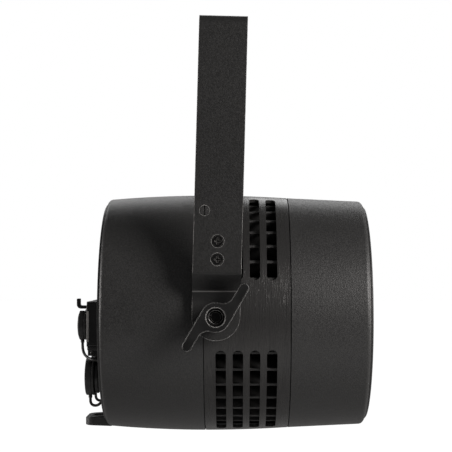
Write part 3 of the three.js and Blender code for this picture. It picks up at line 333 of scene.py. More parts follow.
@dataclass(frozen=True)
class Surface:
    """A satin surface: slow patches in colour and gloss, fine grain in gloss and relief, and lighter edges
    that are partly wear and partly a painted edge highlight.

    Without a colour of their own the patches are a little lighter than the tone. Without an edge colour
    no edge is lightened. The swings say how far the patches and the grain move the roughness.
    """

    name: str
    tone: Colour
    roughness: float
    metallic: float = 0.0
    edge: Colour | None = None
    edge_wear_and_highlight: EdgeWearAndHighlight = EdgeWearAndHighlight()
    patchy: Colour | None = None
    patch: float = 60.0
    patches: Point = (0.35, 0.7)
    grain: float = 900.0
    detail: float = 2.0
    swings: Point = (0.22, 0.08)
    depth: float = 0.00002

    def make(self) -> bpy.types.Material:
        """Builds the material."""
        graph = Graph(self.name)
        where = graph.place()
        patch = graph.noise(where, self.patch, 4.0, 0.6)
        grain = graph.noise(where, self.grain, self.detail)
        patchy = self.patchy or tuple(min(1.0, channel * 1.6 + 0.004) for channel in self.tone)
        colour = graph.mix(graph.rise(patch, self.patches), self.tone, patchy)
        # Lighter edges: partly wear, partly a painted edge highlight.
        if self.edge:
            colour = graph.mix(self.edge_wear_and_highlight.mask(graph, where), colour, self.edge)
        patch_swing, grain_swing = self.swings
        rough = patch.swing(patch_swing) + grain.swing(grain_swing) + self.roughness
        relief = graph.bump(grain, self.depth)
        return graph.done(Base_Color=colour, Roughness=rough, Normal=relief, Metallic=self.metallic)


@dataclass(frozen=True)
class BareMetal(Surface):
    """Plated or cast metal, with tarnish and fine scratches."""

    tone: Colour = (0.52, 0.52, 0.50)
    roughness: float = 0.32
    metallic: float = 0.9
    patchy: Colour | None = (0.30, 0.30, 0.29)
    patch: float = 90.0
    patches: Point = (0.3, 0.75)
    grain: float = 700.0
    detail: float = 3.0
    swings: Point = (0.3, 0.25)
    depth: float = 0.00003


@dataclass(frozen=True)
class Rubber(Surface):
    """Moulded rubber, with fine pits and a dusty bloom."""

    tone: Colour = (0.012, 0.0118, 0.0116)
    roughness: float = 0.46
    patchy: Colour | None = (0.046, 0.045, 0.044)
    patch: float = 130.0
    patches: Point = (0.35, 0.8)
    grain: float = 1800.0
    swings: Point = (0.2, 0.12)
    depth: float = 0.00004


@dataclass(frozen=True)
class Mirror:
    """Vapour-plated reflector, with faint haze."""

    name: str
    tone: Colour = (0.86, 0.87, 0.88)
    hazy: Colour = (0.72, 0.74, 0.76)
    haze: float = 70.0

    def make(self) -> bpy.types.Material:
        """Builds the material: haze in gloss and tone."""
        graph = Graph(self.name)
        haze = graph.noise(graph.place(), self.haze, 4.0, 0.6)
        colour = graph.mix(haze, self.tone, self.hazy)
        return graph.done(Base_Color=colour, Roughness=haze * 0.22 + 0.03, Metallic=1.0)


@dataclass(frozen=True)
class ClearGlass:
    """Tempered front glass, with faint smears."""

    name: str
    tone: Colour = (0.97, 0.99, 0.985)
    smeared: Colour = (0.93, 0.96, 0.955)
    smear: float = 26.0
    smears: Line = ((0.4, 0.0), (0.9, 0.16))

    def make(self) -> bpy.types.Material:
        """Builds the material: full transmission, with smears in its gloss."""
        graph = Graph(self.name)
        smear = graph.noise(graph.place((1.0, 1.0, 3.0)), self.smear, 4.0, 0.65)
        rough = graph.ramp(smear, self.smears)
        colour = graph.mix(smear, self.tone, self.smeared)
        return graph.done(Base_Color=colour, Roughness=rough, Transmission_Weight=1.0, IOR=1.46)


@dataclass(frozen=True)
class Patterned:
    """A surface with a raised pattern in a second colour, and a fine grain in its gloss."""

    name: str
    tone: Colour
    raised: Colour
    scale: float
    span: Point
    roughness: float
    grain: float
    depth: float

    def pattern(self, graph: Graph, where: Wire) -> Wire:
        """The value that the pattern is drawn from, between the levels of the span."""
        raise NotImplementedError

    def make(self) -> bpy.types.Material:
        """Builds the material."""
        graph = Graph(self.name)
        where = graph.place()
        shown = graph.rise(self.pattern(graph, where), self.span)
        rough = graph.noise(where, self.grain) * 0.2 + self.roughness
        colour = graph.mix(shown, self.tone, self.raised)
        return graph.done(Base_Color=colour, Roughness=rough, Normal=graph.bump(shown, self.depth))


@dataclass(frozen=True)
class Phosphor(Patterned):
    """The phosphor over the LED dies, whose rows show faintly through it."""

    tone: Colour = (0.78, 0.62, 0.14)
    raised: Colour = (0.86, 0.76, 0.30)
    scale: float = 200.0
    span: Point = (0.2, 0.5)
    roughness: float = 0.35
    grain: float = 900.0
    depth: float = 0.0001

    def pattern(self, graph: Graph, where: Wire) -> Wire:
        """A square grid of waves."""
        inputs = {"Vector": where, "Scale": self.scale}
        rows, lines = (
            graph.node("ShaderNodeTexWave", {"wave_type": "BANDS", "bands_direction": axis}, inputs, 1)
            for axis in "YZ"
        )
        return rows * lines


@dataclass(frozen=True)
class CircuitBoard(Patterned):
    """Green solder mask over copper tracks."""

    tone: Colour = (0.012, 0.075, 0.035)
    raised: Colour = (0.03, 0.17, 0.07)
    scale: float = 190.0
    span: Point = (0.42, 0.46)
    roughness: float = 0.25
    grain: float = 400.0
    depth: float = 0.00005

    def pattern(self, graph: Graph, where: Wire) -> Wire:
        """Blocky cells."""
        inputs = {"Vector": where, "Scale": self.scale, "Randomness": 0.35}
        return graph.node("ShaderNodeTexVoronoi", {"distance": "CHEBYCHEV"}, inputs)


class Finish(Enum):
    """The finishes, each with the record's slot that it belongs to."""

    # The yoke's light edges are partly wear and partly a painted edge highlight; its crease gets painted
    # shade and a painted fold highlight.
    YOKE = ("yoke_paint", PowderCoat(
        "yoke_paint", (0.013, 0.0128, 0.0127), (0.026, 0.0257, 0.0255), depth=0.0002,
        edge=(0.5, 0.49, 0.48), crease=(0.0245, 0.0125),
    ))
    SHELL = ("shell_paint", PowderCoat("shell_paint"))
    RING = ("ring_paint", BrushedCoat("ring_paint"))
    # Black steel's bright edges are partly wear and partly a painted edge highlight.
    STEEL = ("black_steel", Surface("black_steel", (0.006, 0.006, 0.006), 0.38, 0.15, (0.8, 0.785, 0.77)))
    # Blacked steel's lighter edges are partly wear and partly painted glints on the cross recesses.
    BLACKED = ("black_steel", Surface("blacked_steel", (0.004, 0.004, 0.004), 0.3, 0.5, (0.28, 0.27, 0.26)))
    BUSH = ("black_steel", BareMetal("worn_bush", (0.17, 0.166, 0.163), 0.4, patchy=(0.06, 0.059, 0.058)))
    ZINC = ("zinc_steel", BareMetal("zinc_steel"))
    PLATE = ("zinc_steel", Surface("nickel_plate", (0.42, 0.405, 0.39), 0.4, 0.3))
    CAST = ("cast_aluminium", Surface(
        "cast_aluminium", (0.022, 0.0216, 0.0213), 0.5, edge=(0.34, 0.335, 0.33),
    ))
    PLASTIC = ("black_plastic", Surface(
        "black_plastic", (0.005, 0.005, 0.0052), 0.36, edge=(0.07, 0.068, 0.066),
    ))
    LENS = ("display_lens", Surface("display_lens", (0.006, 0.007, 0.008), 0.08))
    RUBBER = ("black_rubber", Rubber("black_rubber"))
    GLASS = ("clear_glass", ClearGlass("clear_glass"))
    MIRROR = ("reflector_mirror", Mirror("reflector_mirror"))
    PHOSPHOR = ("emitter_phosphor", Phosphor("emitter_phosphor"))
    BOARD = ("circuit_board", CircuitBoard("circuit_board"))


_made: dict[Finish, bpy.types.Material] = {}


def material_of(finish: Finish) -> bpy.types.Material:
    """The material of a finish, made once."""
    if finish not in _made:
        _made[finish] = finish.value[1].make()
    return _made[finish]


# Modelling helpers, in millimetres until a piece is settled in its place

WELD = 0.001
SHARP = 32.0


def only(*chosen: Piece) -> None:
    """Selects these pieces alone, the first one active."""
    bpy.ops.object.select_all(action="DESELECT")
    for piece in chosen:
        piece.select_set(True)
    bpy.context.view_layer.objects.active = chosen[0]


def chain(name: str, points: Sequence[Triple]) -> Piece:
    """Draws a closed line of edges through points, and stays in edit mode with it selected.

    Args:
        name: the piece's name.
        points: the corners, in order.

    Returns:
        The piece, which holds edges alone.
    """
    bpy.ops.object.select_all(action="DESELECT")
    bpy.ops.mesh.primitive_plane_add(size=1, location=(0, 0, 0))
    piece = bpy.context.object
    piece.name = name
    bpy.ops.object.mode_set(mode="EDIT")
    bpy.ops.mesh.merge(type="CENTER")
    bpy.ops.transform.translate(value=points[0])
    for here, there in pairwise([*points, points[0]]):
        step = Vector(there) - Vector(here)
        bpy.ops.mesh.extrude_vertices_move(TRANSFORM_OT_translate={"value": step})
    welded()
    return piece


def welded() -> None:
    """Joins points that stand at one place, in edit mode, and leaves the whole mesh selected."""
    bpy.ops.mesh.select_all(action="SELECT")
    bpy.ops.mesh.remove_doubles(threshold=WELD)


def settle(piece: Piece, place: Matrix) -> Piece:
    """Closes a piece, turns its faces outwards, leaves edit mode and moves its mesh to a place."""
    welded()
    bpy.ops.mesh.normals_make_consistent(inside=False)
    bpy.ops.object.mode_set(mode="OBJECT")
    piece.data.transform(place)
    if place.to_3x3().determinant() < 0:
        piece.data.flip_normals()
    return piece


def lathe(name: str, profile: Line, steps: int, place: Matrix = HEAD_PLACE) -> Piece:
    """Spins a closed profile of radius and station about the place's X axis.

    Args:
        name: the piece's name.
        profile: pairs of radius and station along X.
        steps: sides of the turned piece.
        place: where the axis goes.

    Returns:
        The settled piece.
    """
    piece = chain(name, [(station, 0, radius) for radius, station in profile])
    bpy.ops.mesh.spin(steps=steps, angle=math.tau, center=(0, 0, 0), axis=(1, 0, 0))
    welded()
    bpy.ops.mesh.dissolve_degenerate(threshold=WELD / 2)
    return settle(piece, place)


def slab(name: str, outline: Line, axis: str, span: Point, place: Matrix = HEAD_PLACE) -> Piece:
    """Fills an outline and extrudes it along one axis.

    Args:
        name: the piece's name.
        outline: corners on the two other axes, in the order X, Y, Z.
        axis: the letter of the axis.
        span: the stations where the extrusion starts and ends.
        place: the frame that these numbers are in.

    Returns:
        The settled piece.
    """
    start, end = span
    at = {
        "X": lambda u, v: (start, u, v),
        "Y": lambda u, v: (u, start, v),
        "Z": lambda u, v: (u, v, start),
    }[axis]
    piece = chain(name, [at(u, v) for u, v in outline])
    bpy.ops.mesh.edge_face_add()
    step = [end - start if letter == axis else 0 for letter in "XYZ"]
    bpy.ops.mesh.extrude_region_move(TRANSFORM_OT_translate={"value": step})
    return settle(piece, place)


def lofted(name: str, sections: Sequence[Sequence[Triple]]) -> Piece:
    """Skins a row of closed sections that have the same number of points, and caps its ends.

    Args:
        name: the piece's name.
        sections: closed loops in the head's frame, in order.

    Returns:
        The settled piece.
    """
    sides = len(sections[0])
    points = [point for section in sections for point in section]
    faces = [
        (row * sides + side, row * sides + (side + 1) % sides,
         (row + 1) * sides + (side + 1) % sides, (row + 1) * sides + side)
        for row in range(len(sections) - 1)
        for side in range(sides)
    ]
    faces += [tuple(range(sides)), tuple(range(len(points) - sides, len(points)))]
    mesh = bpy.data.meshes.new(name)
    mesh.from_pydata(points, [], faces)
    piece = bpy.data.objects.new(name, mesh)
    bpy.context.scene.collection.objects.link(piece)
    only(piece)
    bpy.ops.object.mode_set(mode="EDIT")
    return settle(piece, HEAD_PLACE)


def eased_line(corners: Sequence[Triple], steps: int) -> list[Point]:
    """A closed outline with rounded corners.

    Args:
        corners: u, v and the radius of each corner.
        steps: edges in each round.

    Returns:
        The outline's points.
    """
    line: list[Point] = []
    for index, (u, v, radius) in enumerate(corners):
        here = Vector((u, v))
        if not radius:
            line.append((u, v))
            continue
        before = (Vector(corners[index - 1][:2]) - here).normalized()
        after = (Vector(corners[(index + 1) % len(corners)][:2]) - here).normalized()
        half = before.angle(after) / 2
        centre = here + (before + after).normalized() * (radius / math.sin(half))
        first = here + before * (radius / math.tan(half)) - centre
        sweep = first.angle_signed(here + after * (radius / math.tan(half)) - centre)
        begin = math.atan2(first.y, first.x)
        for step in range(steps + 1):
            angle = begin - sweep * step / steps
            line.append((centre.x + radius * math.cos(angle), centre.y + radius * math.sin(angle)))
    return line


def box(u: Point, v: Point, radius: float = 0.0, steps: int = 5) -> list[Point]:
    """The outline of a rectangle between two stations on each axis, with square or round corners."""
    corners = ((u[0], v[0]), (u[1], v[0]), (u[1], v[1]), (u[0], v[1]))
    return eased_line([(*corner, radius) for corner in corners], steps)


def about(middle: float, half: float) -> Point:
    """The two stations at equal distances from a middle."""
    return middle - half, middle + half


def arc(centre: Point, radius: float, start: float, end: float, steps: int) -> list[Point]:
    """Points on an arc between two angles in degrees."""
    angles = [math.radians(start + (end - start) * step / steps) for step in range(steps + 1)]
    return [(centre[0] + radius * math.cos(a), centre[1] + radius * math.sin(a)) for a in angles]


def corner_places(radius: float) -> list[Point]:
    """Four places on a circle about the barrel's axis."""
    return arc((0, 0), radius, 45, 315, 3)


def tube(inner: float, outer: float, start: float, end: float) -> Line:
    """The profile of a plain tube between two stations."""
    return (inner, start), (outer, start), (outer, end), (inner, end)


def drum(radius: float, start: float, end: float) -> Line:
    """The profile of a plain cylinder between two stations."""
    return tube(0, radius, start, end)


def modified(piece: Piece, kind: str, **settings: object) -> Piece:
    """Adds a modifier with its settings and applies it."""
    only(piece)
    modifier = piece.modifiers.new(kind.lower(), kind)
    for key, value in settings.items():
        setattr(modifier, key, value)
    bpy.ops.object.modifier_apply(modifier=modifier.name)
    return piece


def carved(piece: Piece, cutter: Piece, way: str = "DIFFERENCE") -> Piece:
    """Cuts one solid with another, or joins or intersects the two, and removes the cutter."""
    modified(piece, "BOOLEAN", operation=way, solver="EXACT", object=cutter)
    bpy.data.objects.remove(cutter)
    return piece


def softened(piece: Piece, width: float = 0.0, segments: int = 2, angle: float = SHARP) -> Piece:
    """Rounds a piece's sharp edges by a width, and shades it smooth between those that stay sharp."""
    if width:
        modified(
            piece, "BEVEL", width=width * MM, segments=segments, limit_method="ANGLE",
            angle_limit=math.radians(angle),
        )
    only(piece)
    bpy.ops.object.shade_smooth_by_angle(angle=math.radians(angle))
    return modified(piece, "WEIGHTED_NORMAL", keep_sharp=True, weight=80)


@dataclass(frozen=True)
class Turned:
    """A turned part: its profile, its sides, its rounded edges and how it is shaded."""

    profile: Line
    sides: int = 32
    edge: float = 0.0
    segments: int = 2
    smooth: float = SHARP

    def sharp(self, name: str, place: Matrix = HEAD_PLACE) -> Piece:
        """The part with sharp edges, as a cutter or before it is cut."""
        return lathe(name, self.profile, self.sides, place)

    def eased(self, piece: Piece) -> Piece:
        """The part with its edges rounded."""
        return softened(piece, self.edge, self.segments, self.smooth)

    def build(self, name: str, place: Matrix = HEAD_PLACE) -> Piece:
        """The finished part."""
        return self.eased(self.sharp(name, place))


def fused(*parts: Piece) -> Piece:
    """Joins pieces into the first one."""
    only(*parts)
    bpy.ops.object.join()
    return parts[0]


def copied(piece: Piece, name: str, move: Matrix) -> Piece:
    """A copy of a piece with its own mesh, moved."""
    only(piece)
    bpy.ops.object.duplicate()
    copy = bpy.context.object
    copy.name = name
    copy.data.transform(move)
    return copy


def refined(node: str, edge: float, segments: int = 2) -> Piece:
    """A copy of a CAD node, merged and with its sharp edges rounded.

    Args:
        node: the CAD node.
        edge: the width of the rounding, in millimetres.
        segments: steps across the rounding.

    Returns:
        The copy.
    """
    piece = bpy.data.objects.new(f"{node}_fine", frame["nodes"][node].data.copy())
    bpy.context.scene.collection.objects.link(piece)
    piece.data.materials.clear()
    only(piece)
    bpy.ops.mesh.customdata_custom_splitnormals_clear()
    bpy.ops.object.mode_set(mode="EDIT")
    bpy.ops.mesh.select_all(action="SELECT")
    bpy.ops.mesh.remove_doubles(threshold=0.02 * MM)
    bpy.ops.mesh.dissolve_limited(angle_limit=math.radians(1))
    bpy.ops.object.mode_set(mode="OBJECT")
    return softened(piece, edge, segments)


def dress(
    piece: Piece, finish: Finish, *nodes: str, body: str | None = Body.HEAD, name: str | None = None
) -> Piece:
    """Gives a piece its finish, its body and the CAD nodes that it stands for.

    Args:
        piece: the finished mesh.
        finish: its finish.
        nodes: CAD nodes that it replaces.
        body: the body that it rides on, or None for a piece that is blended between two.
        name: a new name.

    Returns:
        The piece.
    """
    piece.name = name or piece.name
    piece.data.materials.clear()
    piece.data.materials.append(material_of(finish))
    if body:
        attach(piece, body)
    if nodes:
        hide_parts(*nodes)
    log.info("%s: %d faces on %s", piece.name, len(piece.data.polygons), body)
    return piece


def repaint(finish: Finish, *nodes: str) -> None:
    """Gives CAD nodes that keep their own shape a finish."""
    for node in nodes:
        for slot in frame["nodes"][node].material_slots:
            slot.material = material_of(finish)


def head_at(x: float, y: float, z: float) -> Matrix:
    """A place on the head, in millimetres from its pivot."""
    return HEAD_PLACE @ Matrix.Translation((x, y, z))


def outward(side: Side, base: Matrix, station: float = 0.0, half: float = 0.0, height: float = 0.0) -> Matrix:
    """The place whose +X points out of one side.

    Args:
        side: the side of the head.
        base: the head's or the yoke's place.
        station: X.
        half: distance from the middle plane.
        height: Z.

    Returns:
        The place.
    """
    turn = Matrix.Rotation(side.value * math.pi / 2, 4, "Z")
    return base @ Matrix.Translation((station, side.value * half, height)) @ turn


def about_axis(angle: float) -> Matrix:
    """A turn about the barrel's axis, in radians."""
    centre = Matrix.Translation(PIVOT)
    return centre @ Matrix.Rotation(angle, 4, "X") @ centre.inverted()


@dataclass(frozen=True)
class SocketScrew(Turned):
    """A small screw with a hex socket in its face, whose middle is the profile's first point."""

    sides: int = 24
    edge: float = 0.08
    key: Line = tuple(arc((0, 0), 1.25, 0, 300, 5))
    key_depth: float = 1.0

    def build(self, name: str, place: Matrix = HEAD_PLACE) -> Piece:
        """The finished screw."""
        span = about(self.profile[0][1], self.key_depth)
        return self.eased(carved(self.sharp(name, place), slab("hex_key", self.key, "X", span, place)))


@dataclass
class SafetyEye:
    """The cast eye: a plate that thins towards its tip, with round corners and a wide hole."""

    tip: float = -118.0
    root: float = -94.0
    half: float = 19.0
    corner: float = 7.0
    tip_heights: Point = (-100.1, -93.0)
    root_heights: Point = (-101.0, -91.6)
    hole: tuple[Point, Point] = ((-112.0, -101.0), (-8.5, 8.5))
    hole_corner: float = 4.0
    cut: Point = (-110, -80)
    steps: int = 8
    hole_steps: int = 6
    edge: Edge = (0.9, 3)

    def build(self) -> Piece:
        """Builds the eye, whose plan is cut from a slab with the side's outline."""
        (tip_low, tip_high), (root_low, root_high) = self.tip_heights, self.root_heights
        side = [(self.root, root_low), (self.tip, tip_low), (self.tip, tip_high), (self.root, root_high)]
        eye = slab("safety_eye", side, "Y", about(0, self.half + 3))
        plan = eased_line(
            (
                (self.root, self.half, 0), (self.tip, self.half, self.corner),
                (self.tip, -self.half, self.corner), (self.root, -self.half, 0),
            ),
            self.steps,
        )
        carved(eye, slab("eye_plan", plan, "Z", self.cut), "INTERSECT")
        hole = box(*self.hole, self.hole_corner, self.hole_steps)
        carved(eye, slab("eye_hole", hole, "Z", self.cut))
        return softened(eye, *self.edge)


@dataclass
class Barrel:
    """The three shells of the head, and the heat sink seen through the vents."""

    radius: float = 105.6
    rear_drop: float = 3.9
    ring_drop: float = 2.4
    front_drop: float = 5.6
    rear_face: float = -98.0
    rear_seam: float = -10.5
    front_seam: float = 62.3
    front_face: float = 129.6
    rim_round: float = 4.0
    wall: float = 2.8
    half_gap: float = 0.35
    spigot: float = 3.3
    spigot_reach: float = 5.0
    spigot_play: float = 0.35
    sides: int = 180
    core_sides: int = 80
    shell_edge: float = 0.3
    ring_edge: float = 0.45
    rim_steps: int = 7
    land: float = 82.5
    panel_hole: float = 95.0
    panel_land: Point = (-91.2, -87.2)
    rear_floor: Point = (-15.4, -12.4)
    rear_floor_edge: float = 96.0
    cord_hole: float = 7.3
    glass_hole: float = 87.6
    glass_land: Point = (119.4, 115.4)
    front_floor: Point = (65.5, 62.5)
    front_floor_hole: float = 44.0
    front_spigot_end: float = 57.3
    slot_width: float = 8.7
    slot_corner: float = 4.1
    slot_half_angle: float = 28.8
    slot_turn: float = -0.35
    slot_stations: tuple[float, ...] = (3.75, 18.05, 32.35, 46.65)
    slot_groups: int = 4
    slot_steps: int = 25
    lug: Turned = Turned(tube(5.4, 9.0, 97.8, 103.2), edge=0.4)
    fin_count: int = 40
    fin_thickness: float = 2.7
    fin_tip: float = 99.8
    fin_root: float = 44.0
    fin_edge: Edge = (0.8, 3)
    sink_span: Point = (-4.0, 62.2)
    base_thickness: float = 6.0
    base_radius: float = 96.6
    core_radius: float = 46.5
    core_edge: float = 0.5
    neck: Point = (20.0, -11.5)
    bore: float = 7.0

    def radius_at(self, station: float) -> float:
        """The barrel's outer radius at a station along X."""
        if station < self.rear_seam:
            share = (self.rear_seam - station) / (self.rear_seam - self.rear_face)
            return self.radius - self.rear_drop * share**2
        if station < self.front_seam:
            share = (station - self.rear_seam) / (self.front_seam - self.rear_seam)
            return self.radius - self.ring_drop * share**2
        share = (station - self.front_seam) / (self.front_face - self.front_seam)
        return self.radius - self.ring_drop - (self.front_drop - self.ring_drop) * share

    def line(self, start: float, end: float, steps: int, inset: float = 0.0) -> list[Point]:
        """Points of the outer line between two stations, moved inwards by an inset."""
        stations = [start + (end - start) * step / steps for step in range(steps + 1)]
        return [(self.radius_at(station) - inset, station) for station in stations]

    def rim(self, face: float, way: int) -> list[Point]:
        """Points of a rounded rim that faces forward (+1) or back (-1)."""
        station = face - way * self.rim_round
        centre = self.radius_at(station) - self.rim_round
        turns = arc((centre, 0), self.rim_round, 0, 90, self.rim_steps)
        return [(radius, station + way * reach) for radius, reach in turns]

    def rear_housing(self) -> Piece:
        """The rear cup, with the safety eye cast on it."""
        seam, spigot_end = self.rear_seam - self.half_gap, self.rear_seam + self.spigot_reach
        (seat, back), (floor, floor_front) = self.panel_land, self.rear_floor
        spigot_edge = self.radius - self.wall - self.spigot_play
        profile = [
            *self.line(seam, self.rear_face + self.rim_round, 14)[:-1],
            *self.rim(self.rear_face, -1),
            (self.panel_hole, self.rear_face), (self.panel_hole, seat), (self.land, seat), (self.land, back),
            *self.line(back, floor, 4, self.wall),
            (self.cord_hole, floor), (self.cord_hole, floor_front), (self.rear_floor_edge, floor_front),
            (self.radius - self.wall - self.spigot, spigot_end), (spigot_edge, spigot_end),
            (spigot_edge, seam),
        ]
        shell = Turned(profile, self.sides, self.shell_edge).build("rear_housing_shell")
        return fused(shell, SafetyEye().build())

    def slot_cutter(self) -> Piece:
        """A curved bar with the outline of one vent, centred on the top of the barrel."""
        corner = math.degrees(self.slot_corner / self.radius)
        inner, outer = self.fin_tip + 0.4, self.radius + 3
        straight = self.slot_half_angle - corner
        turns = [math.radians(degrees) for degrees in range(0, 91, 15)]
        ends = [self.slot_half_angle - corner * (1 - math.sin(turn)) for turn in turns]
        body = [straight - 2.0 * step for step in range(1, self.slot_steps + 1)]
        angles = sorted({*ends, *(-end for end in ends), *(angle for angle in body if abs(angle) < ends[0])})
        sections = []
        for angle in angles:
            past = max(0.0, abs(angle) - ends[0]) / corner
            half = self.slot_width / 2 - self.slot_corner * (1 - math.sqrt(max(0.0, 1 - past**2)))
            across, up = math.sin(math.radians(angle)), math.cos(math.radians(angle))
            loop = ((-half, inner), (half, inner), (half, outer), (-half, outer))
            sections.append([(station, reach * across, reach * up) for station, reach in loop])
        return lofted("slot_cutter", sections)

    def vented_ring(self) -> Piece:
        """The middle ring, with four groups of four vents round it, and a lug at each pivot."""
        start, end = self.rear_seam + self.half_gap, self.front_seam - self.half_gap
        profile = [*self.line(start, end, 12), *self.line(end, start, 4, self.wall)]
        ring = lathe("vented_ring_wall", profile, self.sides)
        first = self.slot_cutter()
        cutters = []
        for group in range(self.slot_groups):
            turn = about_axis(math.radians(45 + 90 * group + self.slot_turn))
            for index, station in enumerate(self.slot_stations):
                move = Matrix.Translation((station * MM, 0, 0)) @ turn
                cutters.append(copied(first, f"slot_{group}_{index}", move))
        bpy.data.objects.remove(first)
        carved(ring, fused(*cutters))
        lugs = [self.lug.build(f"{side.word}_lug", outward(side, HEAD_PLACE)) for side in Side]
        return fused(softened(ring, self.ring_edge), *lugs)

    def front_housing(self) -> Piece:
        """The front cup, with its land for the glass."""
        seam, spigot_end = self.front_seam + self.half_gap, self.front_spigot_end
        inner = self.radius - self.ring_drop - self.wall - 0.3
        (seat, back), (floor, floor_rear) = self.glass_land, self.front_floor
        profile = [
            (inner, seam),
            *self.line(seam, self.front_face - self.rim_round, 4)[:-1],
            *self.rim(self.front_face, 1),
            (self.glass_hole, self.front_face), (self.glass_hole, seat), (self.land, seat), (self.land, back),
            *self.line(back, floor, 2, self.wall),
            (self.front_floor_hole, floor), (self.front_floor_hole, floor_rear),
            (inner - 3, floor_rear), (inner - 3, spigot_end), (inner, spigot_end),
        ]
        return Turned(profile, self.sides, self.shell_edge).build("front_housing_shell")

    def heat_sink(self) -> Piece:
        """Radial fins round a core, each with a rounded outer edge."""
        rear, front = self.sink_span
        base = front - self.base_thickness
        outline = box((rear, base + 0.5), (self.fin_root, self.fin_tip))
        fin = softened(slab("fin", outline, "Y", about(0, self.fin_thickness / 2)), *self.fin_edge)
        fins = [
            copied(fin, f"fin_{index}", about_axis(math.tau * index / self.fin_count))
            for index in range(1, self.fin_count)
        ]
        neck, neck_end = self.neck
        core = (
            (self.bore, front), (self.base_radius, front), (self.base_radius, base), (self.core_radius, base),
            (self.core_radius, rear), (neck, rear), (neck, neck_end), (self.bore, neck_end),
        )
        return fused(Turned(core, self.core_sides, self.core_edge).build("sink_core"), fin, *fins)

    def build(self) -> None:
        """Builds and dresses the barrel."""
        dress(self.rear_housing(), Finish.SHELL, "rear_housing")
        dress(self.vented_ring(), Finish.RING, "vented_ring")
        dress(self.front_housing(), Finish.SHELL, "front_housing")
        dress(self.heat_sink(), Finish.CAST, "heat_sink")


@dataclass
class Front:
    """The bezel, the glass, the reflector and the LED engine."""

    bezel_face: float = 131.5
    bezel_seat: float = 126.1
    face: float = 129.6
    window: float = 82.5
    flange: float = 95.4
    lip: float = 87.3
    bezel_sides: int = 160
    bezel_edge: float = 0.25
    glass: Turned = Turned(drum(87.0, 121.8, 125.8), 128, 0.4)
    gasket: Turned = Turned(tube(82.8, 87.0, 119.7, 121.5), 96, 0.4)
    screw_circle: float = 91.5
    screw: SocketScrew = SocketScrew(((0, 0), (2.7, 0), (2.9, -0.2), (1.5, -1.4), (1.5, -9), (0, -9)))
    screw_depth: float = 0.3
    sink: Turned = Turned(((0, 1), (3.2, 1), (3.2, 0), (1.8, -1.4), (1.8, -4), (0, -4)), 24)
    neck: Point = (22.0, 66.5)
    mouth: Point = (81.0, 115.1)
    mouth_flange: Point = (93.0, 1.2)
    bowl_back: Point = (1.0, -0.4)
    rings: int = 9
    facets: int = 36
    plate_half: float = 17.0
    plate_corner: float = 1.2
    plate_span: Point = (64.4, 65.3)
    plate_edge: float = 0.15
    dam: Turned = Turned(tube(14.4, 15.6, 65.2, 66.1), 64, 0.25, 3)
    phosphor: Turned = Turned(drum(14.3, 65.25, 65.9), 64, 0.1)
    board_disc: Turned = Turned(drum(40, 62.5, 64.1), 80, 0.15)
    board_screw_circle: float = 29.0
    board_screw: Turned = Turned(((0, 64.0), (2.6, 64.0), (2.6, 65.0), (2.0, 65.4), (0, 65.4)), 20)

    def bezel(self) -> Piece:
        """The ring that holds the glass, with its screws' sinks."""
        face, back = self.bezel_face, self.face + 0.3
        shape = (
            (83.3, face), (self.flange - 0.7, face), (self.flange, face - 0.7), (self.flange, back),
            (self.lip, back), (self.lip, self.bezel_seat), (self.window, self.bezel_seat),
            (self.window, face - 0.8),
        )
        ring = lathe("front_bezel_ring", shape, self.bezel_sides)
        places = [head_at(face, y, z) for y, z in corner_places(self.screw_circle)]
        sinks = [self.sink.sharp("bezel_sink", place) for place in places]
        return softened(carved(ring, fused(*sinks)), self.bezel_edge)

    def reflector(self) -> Piece:
        """A faceted parabolic bowl with a flange behind the glass."""
        (neck, deep), (mouth, front) = self.neck, self.mouth
        bowl = []
        for step in range(self.rings + 1):
            radius = neck + (mouth - neck) * step / self.rings
            share = (radius**2 - neck**2) / (mouth**2 - neck**2)
            bowl.append((radius, deep + (front - deep) * share))
        flange, thickness = self.mouth_flange
        rim = [(flange, front), (flange, front - thickness), (mouth + thickness, front - thickness)]
        out, down = self.bowl_back
        back = [(radius + out, station + down) for radius, station in reversed(bowl[:-1])]
        return lathe("reflector_bowl", [*bowl, *rim, *back], self.facets)

    def emitter(self) -> tuple[Piece, Piece]:
        """The LED's square plate with its dam, and the round phosphor inside the dam."""
        outline = box(about(0, self.plate_half), about(0, self.plate_half), self.plate_corner)
        plate = softened(slab("emitter_plate", outline, "X", self.plate_span), self.plate_edge)
        return fused(plate, self.dam.build("emitter_dam")), self.phosphor.build("emitter_face")

    def board(self) -> Piece:
        """The LED board, with its four screws."""
        disc = self.board_disc.build("led_board_disc")
        places = [head_at(0, y, z) for y, z in corner_places(self.board_screw_circle)]
        return fused(disc, *(self.board_screw.build("board_screw", place) for place in places))

    def build(self) -> None:
        """Builds and dresses the front."""
        dress(self.bezel(), Finish.SHELL, "front_bezel")
        dress(self.glass.build("glass_disc"), Finish.GLASS, "front_glass")
        dress(self.reflector(), Finish.MIRROR, "reflector")
        plate, phosphor = self.emitter()
        dress(plate, Finish.CAST, "led_emitter")
        dress(phosphor, Finish.PHOSPHOR)
        dress(self.board(), Finish.BOARD, "led_board")
        dress(self.gasket.build("gasket_ring"), Finish.RUBBER, "glass_gasket")
        for index, (y, z) in enumerate(corner_places(self.screw_circle), 1):
            node = f"bezel_screw_{index}"
            place = head_at(self.bezel_face - self.screw_depth, y, z)
            dress(self.screw.build(f"{node}_fine", place), Finish.STEEL, node)
        repaint(Finish.RUBBER, "base_seal")


